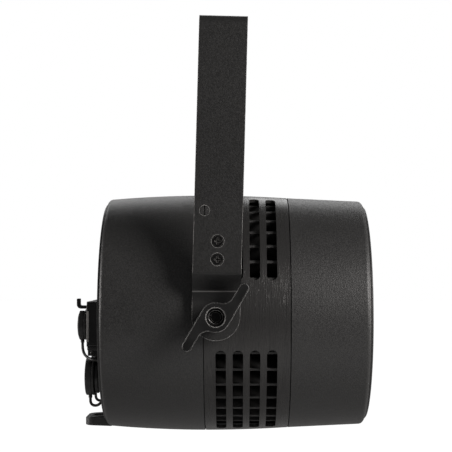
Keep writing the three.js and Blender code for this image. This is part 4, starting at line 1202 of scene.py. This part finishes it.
@dataclass
class RearPanel:
    """The rear panel inside its raised rim, with its display, buttons and breather."""

    rim_face: float = -99.7
    face: float = -96.7
    back: float = -93.2
    recess: float = 87.5
    rim_edge: float = 88.5
    flange: float = 97.4
    plug: float = 94.7
    housing_face: float = -98.0
    drill_span: Point = (-103.0, -90.0)
    screw_circle: float = 91.6
    screw: SocketScrew = SocketScrew(
        ((0, 0.1), (2.3, 0.1), (2.8, 0.6), (2.8, 2.2), (1.5, 2.2), (1.5, 12), (0, 12))
    )
    screw_sink: float = 3.1
    screw_sink_span: Point = (-103, -97.2)
    display: tuple[Point, Point] = ((-23.0, 23.0), (36.0, 56.0))
    display_seat: Point = (-103, -95.1)
    display_corner: float = 1.5
    lens_span: Point = (-97.2, -95.4)
    lens_edge: Edge = (0.35, 3)
    eye_slot: tuple[Point, Point] = ((-19.3, 19.3), (-101.4, -91.2))
    buttons: tuple[float, ...] = (-22.5, -7.5, 7.5, 22.5)
    button_height: float = 24.0
    button_hole: float = 4.5
    button: Turned = Turned(
        (
            (0, -97.9), (2.2, -98.0), (3.2, -98.3), (3.9, -98.1), (4.2, -97.5), (4.2, -93.0), (5.8, -92.9),
            (5.8, -91.9), (2.1, -91.9), (2.1, -89.6), (0, -89.6),
        ),
        smooth=50.0,
    )
    columns: Point = (-22.0, 22.0)
    socket_heights: Point = (-11.0, -56.2)
    socket_hole: float = 11.3
    anchors: Line = ((-40.4, -40.7), (40.4, -40.7), (-22.0, -77.5), (22.0, -77.5))
    post: Turned = Turned(((0, -98.2), (2.2, -98.2), (2.6, -97.8), (2.6, -96.2), (0, -96.2)), 24, 0.2)
    breather_place: Point = (62.0, 4.0)
    breather: Turned = Turned(
        (
            (0, -99.1), (2.4, -99.1), (2.8, -98.7), (4.0, -98.7), (4.4, -99.2), (6.6, -99.2),
            *((7.0 - 0.5 * (rib % 2), -99.0 + 0.3 * rib) for rib in range(7)), (0, -97.0),
        ),
        36,
    )
    sides: int = 160
    edge: float = 0.3

    def drilled(self, radius: float, y: float, z: float, span: Point | None = None) -> Piece:
        """A drill along X, through the panel unless a span is given."""
        return Turned(drum(radius, *(span or self.drill_span))).sharp("drill", head_at(0, y, z))

    def display_box(self, margin: float, corner: float, steps: int = 5) -> list[Point]:
        """The display's outline, widened by a margin."""
        (y0, y1), (z0, z1) = self.display
        return box((y0 - margin, y1 + margin), (z0 - margin, z1 + margin), corner, steps)

    def panel(self) -> Piece:
        """The disc and its rim, with every hole in it, and the posts that hold the tethers."""
        face, rim, seat = self.face, self.rim_face, self.housing_face - 0.3
        shape = (
            (0, face), (self.recess - 0.5, face), (self.recess + 0.1, face - 0.4),
            (self.rim_edge - 0.1, rim + 0.3), (self.rim_edge + 0.3, rim), (self.flange - 0.8, rim),
            (self.flange - 0.2, rim + 0.25), (self.flange, rim + 0.8), (self.flange, seat),
            (self.plug, seat), (self.plug, self.back), (0, self.back),
        )
        disc = lathe("rear_panel_disc", shape, self.sides)
        tools = [
            slab("display_hole", self.display_box(-2, 1), "X", self.drill_span),
            slab("display_seat", self.display_box(0.3, self.display_corner), "X", self.display_seat),
            slab("eye_slot", box(*self.eye_slot, 1), "X", self.drill_span),
            *(self.drilled(self.button_hole, y, self.button_height) for y in self.buttons),
            *(self.drilled(self.socket_hole, y, z) for y in self.columns for z in self.socket_heights),
            *(
                self.drilled(self.screw_sink, y, z, self.screw_sink_span)
                for y, z in corner_places(self.screw_circle)
            ),
        ]
        carved(disc, fused(*tools))
        posts = [self.post.build("anchor_post", head_at(0, y, z)) for y, z in self.anchors]
        return fused(softened(disc, self.edge), *posts)

    def build(self) -> None:
        """Builds and dresses the panel and what it carries."""
        dress(self.panel(), Finish.SHELL, "rear_panel")
        lens = slab("display_lens", self.display_box(0, self.display_corner, 6), "X", self.lens_span)
        dress(softened(lens, *self.lens_edge), Finish.LENS, "display_window")
        for index, y in enumerate(self.buttons, 1):
            node = f"menu_button_{index}"
            button = self.button.build(f"{node}_fine", head_at(0, y, self.button_height))
            dress(button, Finish.RUBBER, node, body=f"button_{index}")
        breather = self.breather.build("breather_cap", head_at(0, *self.breather_place))
        dress(breather, Finish.PLASTIC, "breather_plug")
        for index, (y, z) in enumerate(corner_places(self.screw_circle), 1):
            node = f"panel_screw_{index}"
            dress(self.screw.build(f"{node}_fine", head_at(self.rim_face, y, z)), Finish.STEEL, node)
        repaint(Finish.RUBBER, "panel_gasket")
        repaint(Finish.BOARD, "control_board")
        repaint(Finish.ZINC, "power_supply")


@dataclass(frozen=True)
class Cap:
    """A sealing cap: a gently domed disc with a grip groove, a bung and a lug."""

    face: float
    radius: float
    depth: float
    bung: float
    dome: float
    edge: float
    sides: int = 64
    smooth: float = 30.0
    lug_sides: int = 20

    @property
    def start(self) -> float:
        """The station where the disc begins, just off its seat."""
        return self.face - 0.3

    def profile(self) -> Line:
        """The disc's profile, from the middle of its crown round to the bung's end."""
        start, radius, bung, edge = self.start, self.radius, self.bung, self.edge
        crown = start - self.depth
        rim = crown + self.dome
        groove = radius - 0.35
        return (
            (0, crown), (radius * 0.45, crown + self.dome * 0.14), (radius * 0.75, crown + self.dome * 0.45),
            (radius - edge, rim), (radius - 0.3 * edge, rim + 0.3 * edge), (radius, rim + edge),
            (radius, start - 2.9), (groove, start - 2.6), (groove, start - 2.1), (radius, start - 1.8),
            (radius, start - 0.5), (radius - 0.5, start), (bung, start), (bung, start + 2),
            (bung - 0.4, start + 2.5), (bung, start + 3), (bung, self.face + 8), (bung - 1, self.face + 9),
            (0, self.face + 9),
        )

    def build(self, name: str, y: float, z: float) -> Piece:
        """Builds the cap at a connector's axis."""
        disc = Turned(self.profile(), self.sides, smooth=self.smooth).build(name, head_at(0, y, z))
        foot = z - self.radius
        lug = ((0, foot - 2.6), (1.3, foot - 2.6), (1.7, foot - 2.2), (1.7, foot + 1.5), (0, foot + 1.5))
        place = head_at(self.start - self.depth / 2, y, 0) @ UPRIGHT
        return fused(disc, Turned(lug, self.lug_sides).build("lug", place))


@dataclass
class Connector:
    """One column of two rear connectors, with their sealing caps, tethers and latch."""

    side: Side
    signal_node: str
    power_node: str
    column: float = 22.0
    seat: float = -97.0
    half: float = 15.5
    signal_face: float = -115.0
    signal_z: float = -11.0
    signal_span: Point = (-29.5, 10.4)
    block_corner: float = 1.8
    block_edge: Edge = (0.7, 3)
    hole_edge: float = 0.25
    signal_neck: Turned = Turned(drum(11.6, -115.5, -112), 48)
    signal_socket: Turned = Turned(drum(9.7, -125, -106.3), 48)
    signal_tail: Turned = Turned(drum(11, -97.5, -81.2), 40, 0.5)
    signal_cap: Cap = Cap(-115.6, 13.0, 8.5, 9.3, 1.9, 0.5)
    latch_room: tuple[float, Point, Point] = (4.8, (2.7, 7.0), (-120, -106.7))
    ledge_plate: float = 3.1
    lip_half: float = 13.4
    lip_corner: float = 0.6
    lip_edge: Edge = (0.4, 3)
    foot_half: float = 12.7
    foot_height: float = 8.0
    foot_corner: float = 0.5
    foot_edge: float = 0.3
    side_screw: SocketScrew = SocketScrew(((0, 0.9), (1.6, 0.8), (2.3, 0.35), (2.4, -0.6), (0, -0.6)))
    side_screw_place: Point = (-109.6, -5.6)
    strip_ends: Point = (4.5, 8.5)
    strip_sides: Point = (0.6, 0.45)
    strip_corner: float = 0.12
    strip_edge: float = 0.1
    rivet: Turned = Turned(((0, 0.55), (0.7, 0.5), (1.0, 0.2), (1.0, -0.8), (0, -0.8)), 20, 0.05)
    rivet_place: Point = (1.0, 2.2)
    socket_ring: Turned = Turned(
        ((11.65, -115.55), (12.1, -115.55), (12.3, -115.35), (12.3, -114.6), (11.65, -114.6)), 56, 0.06
    )
    power_z: float = -56.2
    flange_thickness: float = 3.8
    flange_corner: float = 2.2
    flange_edge: Edge = (0.8, 3)
    power_barrel: Turned = Turned(
        (
            (11.7, -108.3), (14.5, -108.3), (15.0, -107.8), (15.0, -105.4), (14.2, -105.1), (14.2, -104.3),
            (15.0, -104.0), (15.0, -100.3), (11.7, -100.3),
        ),
        56, 0.2,
    )
    power_tail: Turned = Turned(
        ((0, -98.7), (12.0, -98.7), (12.0, -96.5), (11.0, -96.5), (11.0, -81.2), (0, -81.2)), 40, 0.3
    )
    power_cap: Cap = Cap(-108.3, 16.7, 8.8, 11.3, 0.9, 0.9)
    tether_radius: float = 1.25
    tether_anchor: Point = (40.4, -40.7)
    tether_smooth: float = 50.0
    latch_half: float = 4.5
    latch_steps: int = 8
    latch_edge: Edge = (0.45, 3)
    latch_line: Sequence[Triple] = (
        (-107.0, 3.8, 0), (-107.0, 6.6, 0), (-122.2, 6.6, 1.4), (-122.2, 12.7, 0.6), (-125.0, 12.7, 0.6),
        (-125.0, 3.8, 3.8),
    )

    @property
    def y(self) -> float:
        """The column's place across the panel."""
        return self.column * self.side.value

    def signal(self) -> Piece:
        """The tall signal block, its socket and its tail."""
        place = head_at(0, self.y, self.signal_z)
        outline = box(about(self.y, self.half), self.signal_span, self.block_corner)
        block = slab(f"{self.signal_node}_block", outline, "X", (self.signal_face, self.seat))
        softened(block, *self.block_edge)
        carved(block, self.signal_neck.sharp("neck", place), "UNION")
        carved(block, self.signal_socket.sharp("socket", place))
        if self.side is Side.RIGHT:
            half, heights, span = self.latch_room
            carved(block, slab("latch_room", box(about(self.y, half), heights), "X", span))
        tail = self.signal_tail.build("signal_tail", place)
        return fused(softened(block, self.hole_edge), tail)

    def ledge(self) -> tuple[Piece, Piece]:
        """The ledge under the signal block: a lip, the lower block inside it, and the screw in its side."""
        y, low = self.y, self.signal_span[0]
        mid = low - self.ledge_plate
        lip_line = box(about(y, self.lip_half), (mid, low + 0.2), self.lip_corner)
        lip = slab(f"{self.signal_node}_lip", lip_line, "X", (self.signal_face + 0.4, self.seat))
        foot_line = box(about(y, self.foot_half), (low - self.foot_height, mid + 0.3), self.foot_corner)
        foot = slab(f"{self.signal_node}_foot", foot_line, "X", (self.signal_face + 0.9, self.seat))
        station, drop = self.side_screw_place
        place = outward(self.side, HEAD_PLACE, station, self.column + self.foot_half, low + drop)
        screw = self.side_screw.build(f"{self.signal_node}_side_screw", place)
        return softened(lip, *self.lip_edge), fused(softened(foot, self.foot_edge), screw)

    def trim(self) -> Piece:
        """The bright plate round the signal socket, which shows as a thin strip at the block's sides."""
        low, high = self.signal_span[0] + self.strip_ends[0], self.signal_span[1] - self.strip_ends[1]
        inside, outside = self.strip_sides
        rivet_in, rivet_up = self.rivet_place
        span = (self.signal_face - 0.1, self.signal_face + 2.0)
        plates = []
        for turn in Side:
            edge = self.y + turn.value * self.half
            across = sorted((edge - turn.value * inside, edge + turn.value * outside))
            strip = slab("strip", box(across, (low, high), self.strip_corner, 2), "X", span)
            plates.append(softened(strip, self.strip_edge))
            place = outward(turn, HEAD_PLACE, self.signal_face + rivet_in, turn.value * edge, low + rivet_up)
            plates.append(self.rivet.build("strip_rivet", place))
        plates.append(self.socket_ring.build("socket_ring", head_at(0, self.y, self.signal_z)))
        return fused(*plates)

    def power(self) -> Piece:
        """The square flange and round barrel of the power socket."""
        place = head_at(0, self.y, self.power_z)
        outline = box(about(self.y, self.half), about(self.power_z, self.half), self.flange_corner)
        span = (self.seat - self.flange_thickness, self.seat)
        flange = slab(f"{self.power_node}_flange", outline, "X", span)
        return fused(
            softened(flange, *self.flange_edge),
            self.power_barrel.build("power_barrel", place),
            self.power_tail.build("power_tail", place),
        )

    def tether(self, name: str, route: Sequence[Triple]) -> Piece:
        """A round rubber tether along a route."""
        data = bpy.data.curves.new(name, "CURVE")
        data.dimensions = "3D"
        data.bevel_depth = self.tether_radius
        data.bevel_resolution = 3
        data.use_fill_caps = True
        data.resolution_u = 8
        spline = data.splines.new("NURBS")
        spline.points.add(len(route) - 1)
        for point, place in zip(spline.points, route):
            point.co = (*place, 1.0)
        spline.order_u = 4
        spline.use_endpoint_u = True
        piece = bpy.data.objects.new(name, data)
        bpy.context.scene.collection.objects.link(piece)
        only(piece)
        bpy.ops.object.convert(target="MESH")
        piece = bpy.context.object
        piece.data.transform(HEAD_PLACE)
        return softened(piece, angle=self.tether_smooth)

    def routes(self) -> tuple[list[Triple], list[Triple]]:
        """The upper and the lower tether's routes, from the cap to the panel."""
        sign, y = self.side.value, self.y
        across, height = self.tether_anchor
        upper = [
            (-120.15, y, -26.4), (-120.15, y, -28.2), (-120.15, y + sign * 0.6, -31.0),
            (-118.4, y + sign * 5.0, -36.4), (-114.0, y + sign * 12.0, -39.2),
            *((station, sign * across, height) for station in (-109.5, -104.5, -101.0, -98.1)),
        ]
        lower = [
            (station, y, z)
            for station, z in (
                (-113.0, -75.2), (-113.0, -77.0), (-113.0, -80.4), (-110.0, -82.6), (-105.5, -82.0),
                (-103.0, -78.4), (-101.5, -77.5), (-98.1, -77.5),
            )
        ]
        return upper, lower

    def latch(self) -> Piece:
        """The latch lever: out over the cap, and turned up at its end."""
        outline = eased_line(self.latch_line, self.latch_steps)
        lever = slab("latch_lever_fine", outline, "Y", about(self.y, self.latch_half))
        return softened(lever, *self.latch_edge)

    def build(self) -> None:
        """Builds and dresses the column."""
        signal, power = self.signal_node, self.power_node
        dress(self.signal(), Finish.PLASTIC, signal)
        dress(self.power(), Finish.PLASTIC, power)
        lip, foot = self.ledge()
        dress(lip, Finish.CAST)
        dress(foot, Finish.PLASTIC)
        dress(self.trim(), Finish.PLATE)
        caps = ((signal, self.signal_z, self.signal_cap), (power, self.power_z, self.power_cap))
        for (node, z, cap), route in zip(caps, self.routes()):
            seal = f"{node}_seal"
            dress(cap.build(f"{node}_cap_fine", self.y, z), Finish.RUBBER, f"{node}_cap", body=seal)
            tether = self.tether(f"{node}_tether_fine", route)
            dress(tether, Finish.RUBBER, f"{node}_tether", body=None)
            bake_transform(tether)
        if self.side is Side.RIGHT:
            dress(self.latch(), Finish.PLASTIC, "latch_lever", body=Body.LATCH)


@dataclass
class Yoke:
    """The flat bar bent to a bail, with its screws and inner plates."""

    half: float = 124.0
    top: float = 248.0
    width: float = 40.0
    thickness: float = 4.0
    bend: float = 8.0
    tab_half: float = 113.0
    joggle: Point = (21.2, 35.2)
    joggle_round: float = 3.0
    steps: int = 8
    end_steps: int = 40
    edge: Edge = (0.55, 3)
    pivot_drill: Turned = Turned(drum(5.3, -140, 140))
    plug_drill: Turned = Turned(drum(4.1605, -140, 140))
    top_holes: Line = ((0.0, 6.5), (-50.0, 5.5), (50.0, 5.5))
    top_drill_span: Point = (230, 260)
    top_drill_sides: int = 40
    sink: Turned = Turned(((0, 3), (5.2, 3), (5.2, -1.2), (2.8, -3.6), (2.8, -6), (0, -6)))
    screw_heights: Point = (47.0, 61.8)
    screw: Turned = Turned(
        ((0, -0.4), (4.5, -0.4), (4.95, -0.7), (4.95, -1.1), (2.5, -3.4), (2.5, -7), (0, -7)), edge=0.12
    )
    cross: Line = ((1, -3.3), (1, 3.3), (-2.2, 1.5), (-2.2, -1.5))
    cross_half: float = 0.6
    plug_place: Point = (-11.4, 86.6)
    plug: Turned = Turned(((0, -0.15), (3.9, -0.15), (4.1, -0.3), (4.1, -4), (0, -4)), edge=0.12)
    plug_slot: tuple[Point, Point] = ((-1.6, 1), (-5, 5))
    plug_slot_half: float = 0.5

    def outline(self) -> list[Point]:
        """The bar's section across the yoke: up one arm, over the top and back inside."""
        (low, high), wall, turn = self.joggle, self.thickness, self.joggle_round
        outer = [
            (self.tab_half, -self.width, 0), (self.tab_half, low, turn + wall), (self.half, high, turn),
            (self.half, self.top, self.bend),
        ]
        inner = [
            (self.tab_half - wall, -self.width, 0), (self.tab_half - wall, low, turn),
            (self.half - wall, high, turn + wall), (self.half - wall, self.top - wall, self.bend - wall),
        ]
        across = [*outer, *((-y, z, r) for y, z, r in reversed(outer))]
        back = [*((-y, z, r) for y, z, r in inner), *reversed(inner)]
        return eased_line([*across, *back], self.steps)

    def strap(self) -> Piece:
        """The bar, its round lower ends and its holes."""
        half, above = self.width / 2, self.top + 5
        bar = slab("yoke_bar", self.outline(), "X", (-half, half), YOKE_PLACE)
        ends = [(half, above), (-half, above), *arc((0, 0), half, 180, 360, self.end_steps)]
        carved(bar, slab("end_shape", ends, "Y", about(0, self.half + 5), YOKE_PLACE), "INTERSECT")
        station, height = self.plug_place
        tools = [
            self.pivot_drill.sharp("pivot_drill", outward(Side.LEFT, YOKE_PLACE)),
            self.plug_drill.sharp("plug_drill", outward(Side.LEFT, YOKE_PLACE, station, 0, height)),
        ]
        for reach, radius in self.top_holes:
            place = YOKE_PLACE @ Matrix.Translation((0, reach, 0)) @ UPRIGHT
            drill = Turned(drum(radius, *self.top_drill_span), self.top_drill_sides)
            tools.append(drill.sharp("top_drill", place))
        for side in Side:
            for at in self.screw_heights:
                tools.append(self.sink.sharp("sink", outward(side, YOKE_PLACE, 0, self.half, at)))
        return softened(carved(bar, fused(*tools)), *self.edge)

    def cross_screw(self, place: Matrix, name: str) -> Piece:
        """A countersunk screw with a cross recess."""
        screw = self.screw.sharp(name, place)
        for index, angle in enumerate((0, math.pi / 2)):
            turn = Matrix.Rotation(angle, 4, "X")
            carved(screw, slab(f"cross_{index}", self.cross, "Z", about(0, self.cross_half), place @ turn))
        return self.screw.eased(screw)

    def plug_screw(self, place: Matrix, name: str) -> Piece:
        """A flush plug screw with one slot."""
        screw = self.plug.sharp(name, place)
        slot = slab("slot", box(*self.plug_slot), "Y", about(0, self.plug_slot_half), place)
        return self.plug.eased(carved(screw, slot))

    def build(self) -> None:
        """Builds and dresses the yoke."""
        dress(self.strap(), Finish.YOKE, "yoke_strap", body=Body.YOKE, name="yoke_bar")
        station, height = self.plug_place
        for side in Side:
            for index, at in enumerate(self.screw_heights, 1):
                node = f"{side.word}_arm_screw_{index}"
                screw = self.cross_screw(outward(side, YOKE_PLACE, 0, self.half, at), f"{node}_fine")
                dress(screw, Finish.BLACKED, node, body=Body.YOKE)
            node = f"{side.word}_plug_screw"
            plug = self.plug_screw(outward(side, YOKE_PLACE, station, self.half, height), f"{node}_fine")
            dress(plug, Finish.SHELL, node, body=Body.YOKE)
            node = f"{side.word}_arm_plate"
            dress(refined(node, 0.5), Finish.STEEL, node, body=Body.YOKE)


@dataclass
class ClampHandles:
    """The two clamp handles, with what they hold the head by."""

    outer: float = 132.5
    thickness: float = 7.0
    hub: float = 12.4
    arm_width: float = 8.4
    reach: float = 32.0
    fillet: float = 9.0
    angle: float = 60.0
    edge: float = 0.9
    collar: float = 10.4
    bore: float = 5.4
    well_depth: float = 9.5
    funnel: Triple = (7.9, 2.2, 6.1)
    inside: float = 113.3
    stud_span: Point = (97.8, 123.5)
    stud_radius: float = 4.95
    thread_start: float = 104.0
    thread_depth: float = 0.55
    thread_pitch: float = 1.5

    def outline(self) -> list[Point]:
        """The S-shaped outline about the hub, with its arms along the first axis."""
        tip = self.arm_width / 2
        offset = self.hub - tip
        inner = offset - tip
        across = inner - self.fillet
        along = math.sqrt((self.hub + self.fillet) ** 2 - across**2)
        lean = math.degrees(math.atan2(-across, along))
        half = [
            (0, self.hub),
            *arc((self.reach, offset), tip, 90, -90, 14),
            *arc((along, across), self.fillet, 90, 180 - lean, 8),
            *arc((0, 0), self.hub, -lean, -90, 10)[:-1],
        ]
        return [(sign * u, sign * v) for sign in (1, -1) for u, v in half]

    def handle(self, side: Side) -> Piece:
        """One handle, its collar and its funnel-shaped bore."""
        place = outward(side, HEAD_PLACE)
        lean = math.radians(self.angle)
        points = [
            (u * math.cos(lean) + v * math.sin(lean), u * math.sin(lean) - v * math.cos(lean))
            for u, v in self.outline()
        ]
        base, outer = self.outer - self.thickness, self.outer
        plate = softened(slab(f"{side.word}_plate", points, "X", (base, outer), place), self.edge, 3)
        collar = Turned(drum(self.collar, self.inside, base + 1), 40, 0.5).build(f"{side.word}_collar", place)
        whole = carved(plate, collar, "UNION")
        wide, deep, well = self.funnel
        under, floor = self.inside - 3, outer - self.well_depth
        drill = (
            (0, under), (self.bore, under), (self.bore, floor), (well, floor), (well, outer - deep),
            (wide, outer), (wide, outer + 3), (0, outer + 3),
        )
        return softened(carved(whole, Turned(drill, 48).sharp("handle_drill", place)))

    def bush(self, side: Side) -> Piece:
        """The bright, worn cone in the handle's bore."""
        wide, deep, well = self.funnel
        low = self.outer - deep - 1.2
        ring = (
            (wide + 0.4, self.outer - 0.45), (wide, self.outer - 0.3), (well + 0.1, self.outer - deep + 0.1),
            (well - 0.25, low), (well + 1.2, low),
        )
        return Turned(ring, 56, 0.1).build(f"{side.word}_bush", outward(side, HEAD_PLACE))

    def stud(self, side: Side) -> Piece:
        """The threaded stud, with a thread turned on its outer end."""
        start, end = self.stud_span
        first, pitch = self.thread_start, self.thread_pitch
        turns = int((end - 1 - first) / pitch)
        thread = [
            (self.stud_radius - self.thread_depth * (half % 2), first + pitch / 2 * half)
            for half in range(2 * turns + 1)
        ]
        profile = [(0, start), (self.stud_radius, start), *thread, (4.3, end), (0, end)]
        return Turned(profile).build(f"{side.word}_pivot_stud_fine", outward(side, HEAD_PLACE))

    def build(self) -> None:
        """Builds and dresses the handles, bosses, studs and washers."""
        for side in Side:
            body, node = f"{side.word}_handle", f"{side.word}_clamp_handle"
            dress(self.handle(side), Finish.STEEL, node, body=body, name=f"{node}_fine")
            dress(self.bush(side), Finish.BUSH, body=body)
            boss, washer = f"{side.word}_pivot_boss", f"{side.word}_friction_washer"
            dress(refined(boss, 0.8, 3), Finish.CAST, boss)
            dress(self.stud(side), Finish.BLACKED, f"{side.word}_pivot_stud")
            dress(refined(washer, 0.15), Finish.RUBBER, washer)


WHITE = (1.0, 1.0, 1.0)
WARM = (1.0, 0.965, 0.94)


@dataclass(frozen=True)
class Softbox:
    """A soft rectangular lamp that is aimed at the head."""

    name: str
    place: Triple
    size: Point
    watts: float
    tint: Colour

    def build(self) -> None:
        """Hangs the lamp in the scene."""
        data = bpy.data.lights.new(self.name, "AREA")
        data.shape = "RECTANGLE"
        data.size, data.size_y = self.size
        data.energy = self.watts
        data.color = self.tint
        lamp = bpy.data.objects.new(self.name, data)
        bpy.context.scene.collection.objects.link(lamp)
        lamp.location = self.place
        lamp.rotation_euler = (PIVOT - Vector(self.place)).to_track_quat("-Z", "Y").to_euler()


@dataclass
class Studio:
    """The camera, the soft lights, the floor and the white surround."""

    camera_place: Triple = (0.0105, -1.195, -0.208)
    sensor: float = 36.0
    focal_pixels: float = 1315.0
    frame_pixels: float = 452.0
    yaw: float = math.radians(0.46)
    pitch: float = math.radians(1.83)
    sight: float = 100.0
    floor_height: float = -0.62
    floor_size: float = 30.0
    floor_tone: float = 0.3
    floor_roughness: float = 0.9
    floor_glow: float = 0.98
    floor_gloss: float = 0.04
    ambient: float = 0.1
    lamps: tuple[Softbox, ...] = (
        Softbox("top_softbox", (0.0, 1.0, 0.5), (1.4, 0.5), 4.0, WHITE),
        Softbox("near_softbox", (0.95, -0.9, 0.25), (0.5, 0.7), 17.5, WARM),
        Softbox("under_softbox", (0.0, -0.3, -0.6), (0.8, 0.4), 0.2, WHITE),
        Softbox("left_softbox", (-1.5, 0.0, 0.0), (0.7, 0.7), 13.0, WARM),
        Softbox("right_softbox", (1.5, 0.0, 0.0), (0.7, 0.7), 10.0, WARM),
    )

    def camera(self) -> None:
        """Stands the camera where the photograph was taken from."""
        data = bpy.data.cameras.new("camera")
        data.sensor_width = self.sensor
        data.sensor_fit = "HORIZONTAL"
        data.lens = self.focal_pixels / self.frame_pixels * self.sensor
        data.clip_end = self.sight
        camera = bpy.data.objects.new("camera", data)
        bpy.context.scene.collection.objects.link(camera)
        camera.location = self.camera_place
        forward = Vector((-math.sin(self.yaw), math.cos(self.yaw), math.tan(self.pitch)))
        camera.rotation_euler = forward.to_track_quat("-Z", "Y").to_euler()
        bpy.context.scene.camera = camera

    def floor(self) -> None:
        """A plain pale floor, which shows white to the camera where no shadow falls."""
        bpy.ops.object.select_all(action="DESELECT")
        bpy.ops.mesh.primitive_plane_add(size=self.floor_size, location=(0, 0, self.floor_height))
        floor = bpy.context.object
        floor.name = "floor"
        graph = Graph("floor_paint")
        path = graph.tree.nodes.new("ShaderNodeLightPath")
        rays = ("Is Camera Ray", "Is Glossy Ray", "Is Transmission Ray")
        seen, gloss, clear = (Wire(graph, path.outputs[ray]) for ray in rays)
        glow = (seen + clear) * self.floor_glow + gloss * self.floor_gloss
        tone = (self.floor_tone,) * 3
        material = graph.done(
            Base_Color=(*tone, 1.0), Roughness=self.floor_roughness,
            Emission_Strength=glow, Emission_Color=(*WHITE, 1.0),
        )
        floor.data.materials.append(material)

    def surround(self) -> None:
        """A white world, which lights the object less than it shows."""
        world = bpy.data.worlds.new("surround")
        bpy.context.scene.world = world
        world.use_nodes = True
        tree = world.node_tree
        path = tree.nodes.new("ShaderNodeLightPath")
        sky = tree.nodes["Background"]
        sky.inputs["Color"].default_value = (*WHITE, 1)
        low = tree.nodes.new("ShaderNodeMix")
        low.data_type = "FLOAT"
        low.inputs["A"].default_value = self.ambient
        low.inputs["B"].default_value = 1.0
        tree.links.new(path.outputs["Is Camera Ray"], low.inputs["Factor"])
        tree.links.new(low.outputs["Result"], sky.inputs["Strength"])

    def build(self) -> None:
        """Builds the studio."""
        bpy.context.scene.view_settings.view_transform = "Standard"
        self.camera()
        self.surround()
        self.floor()
        for lamp in self.lamps:
            lamp.build()


def main() -> None:
    """Builds the studio and every sub-assembly."""
    logging.basicConfig(level=logging.INFO, format="%(message)s")
    Studio().build()
    Barrel().build()
    Front().build()
    RearPanel().build()
    Connector(Side.RIGHT, "xlr_input", "power_input").build()
    Connector(Side.LEFT, "xlr_output", "power_output").build()
    Yoke().build()
    ClampHandles().build()


if __name__ == "__main__":
    main()
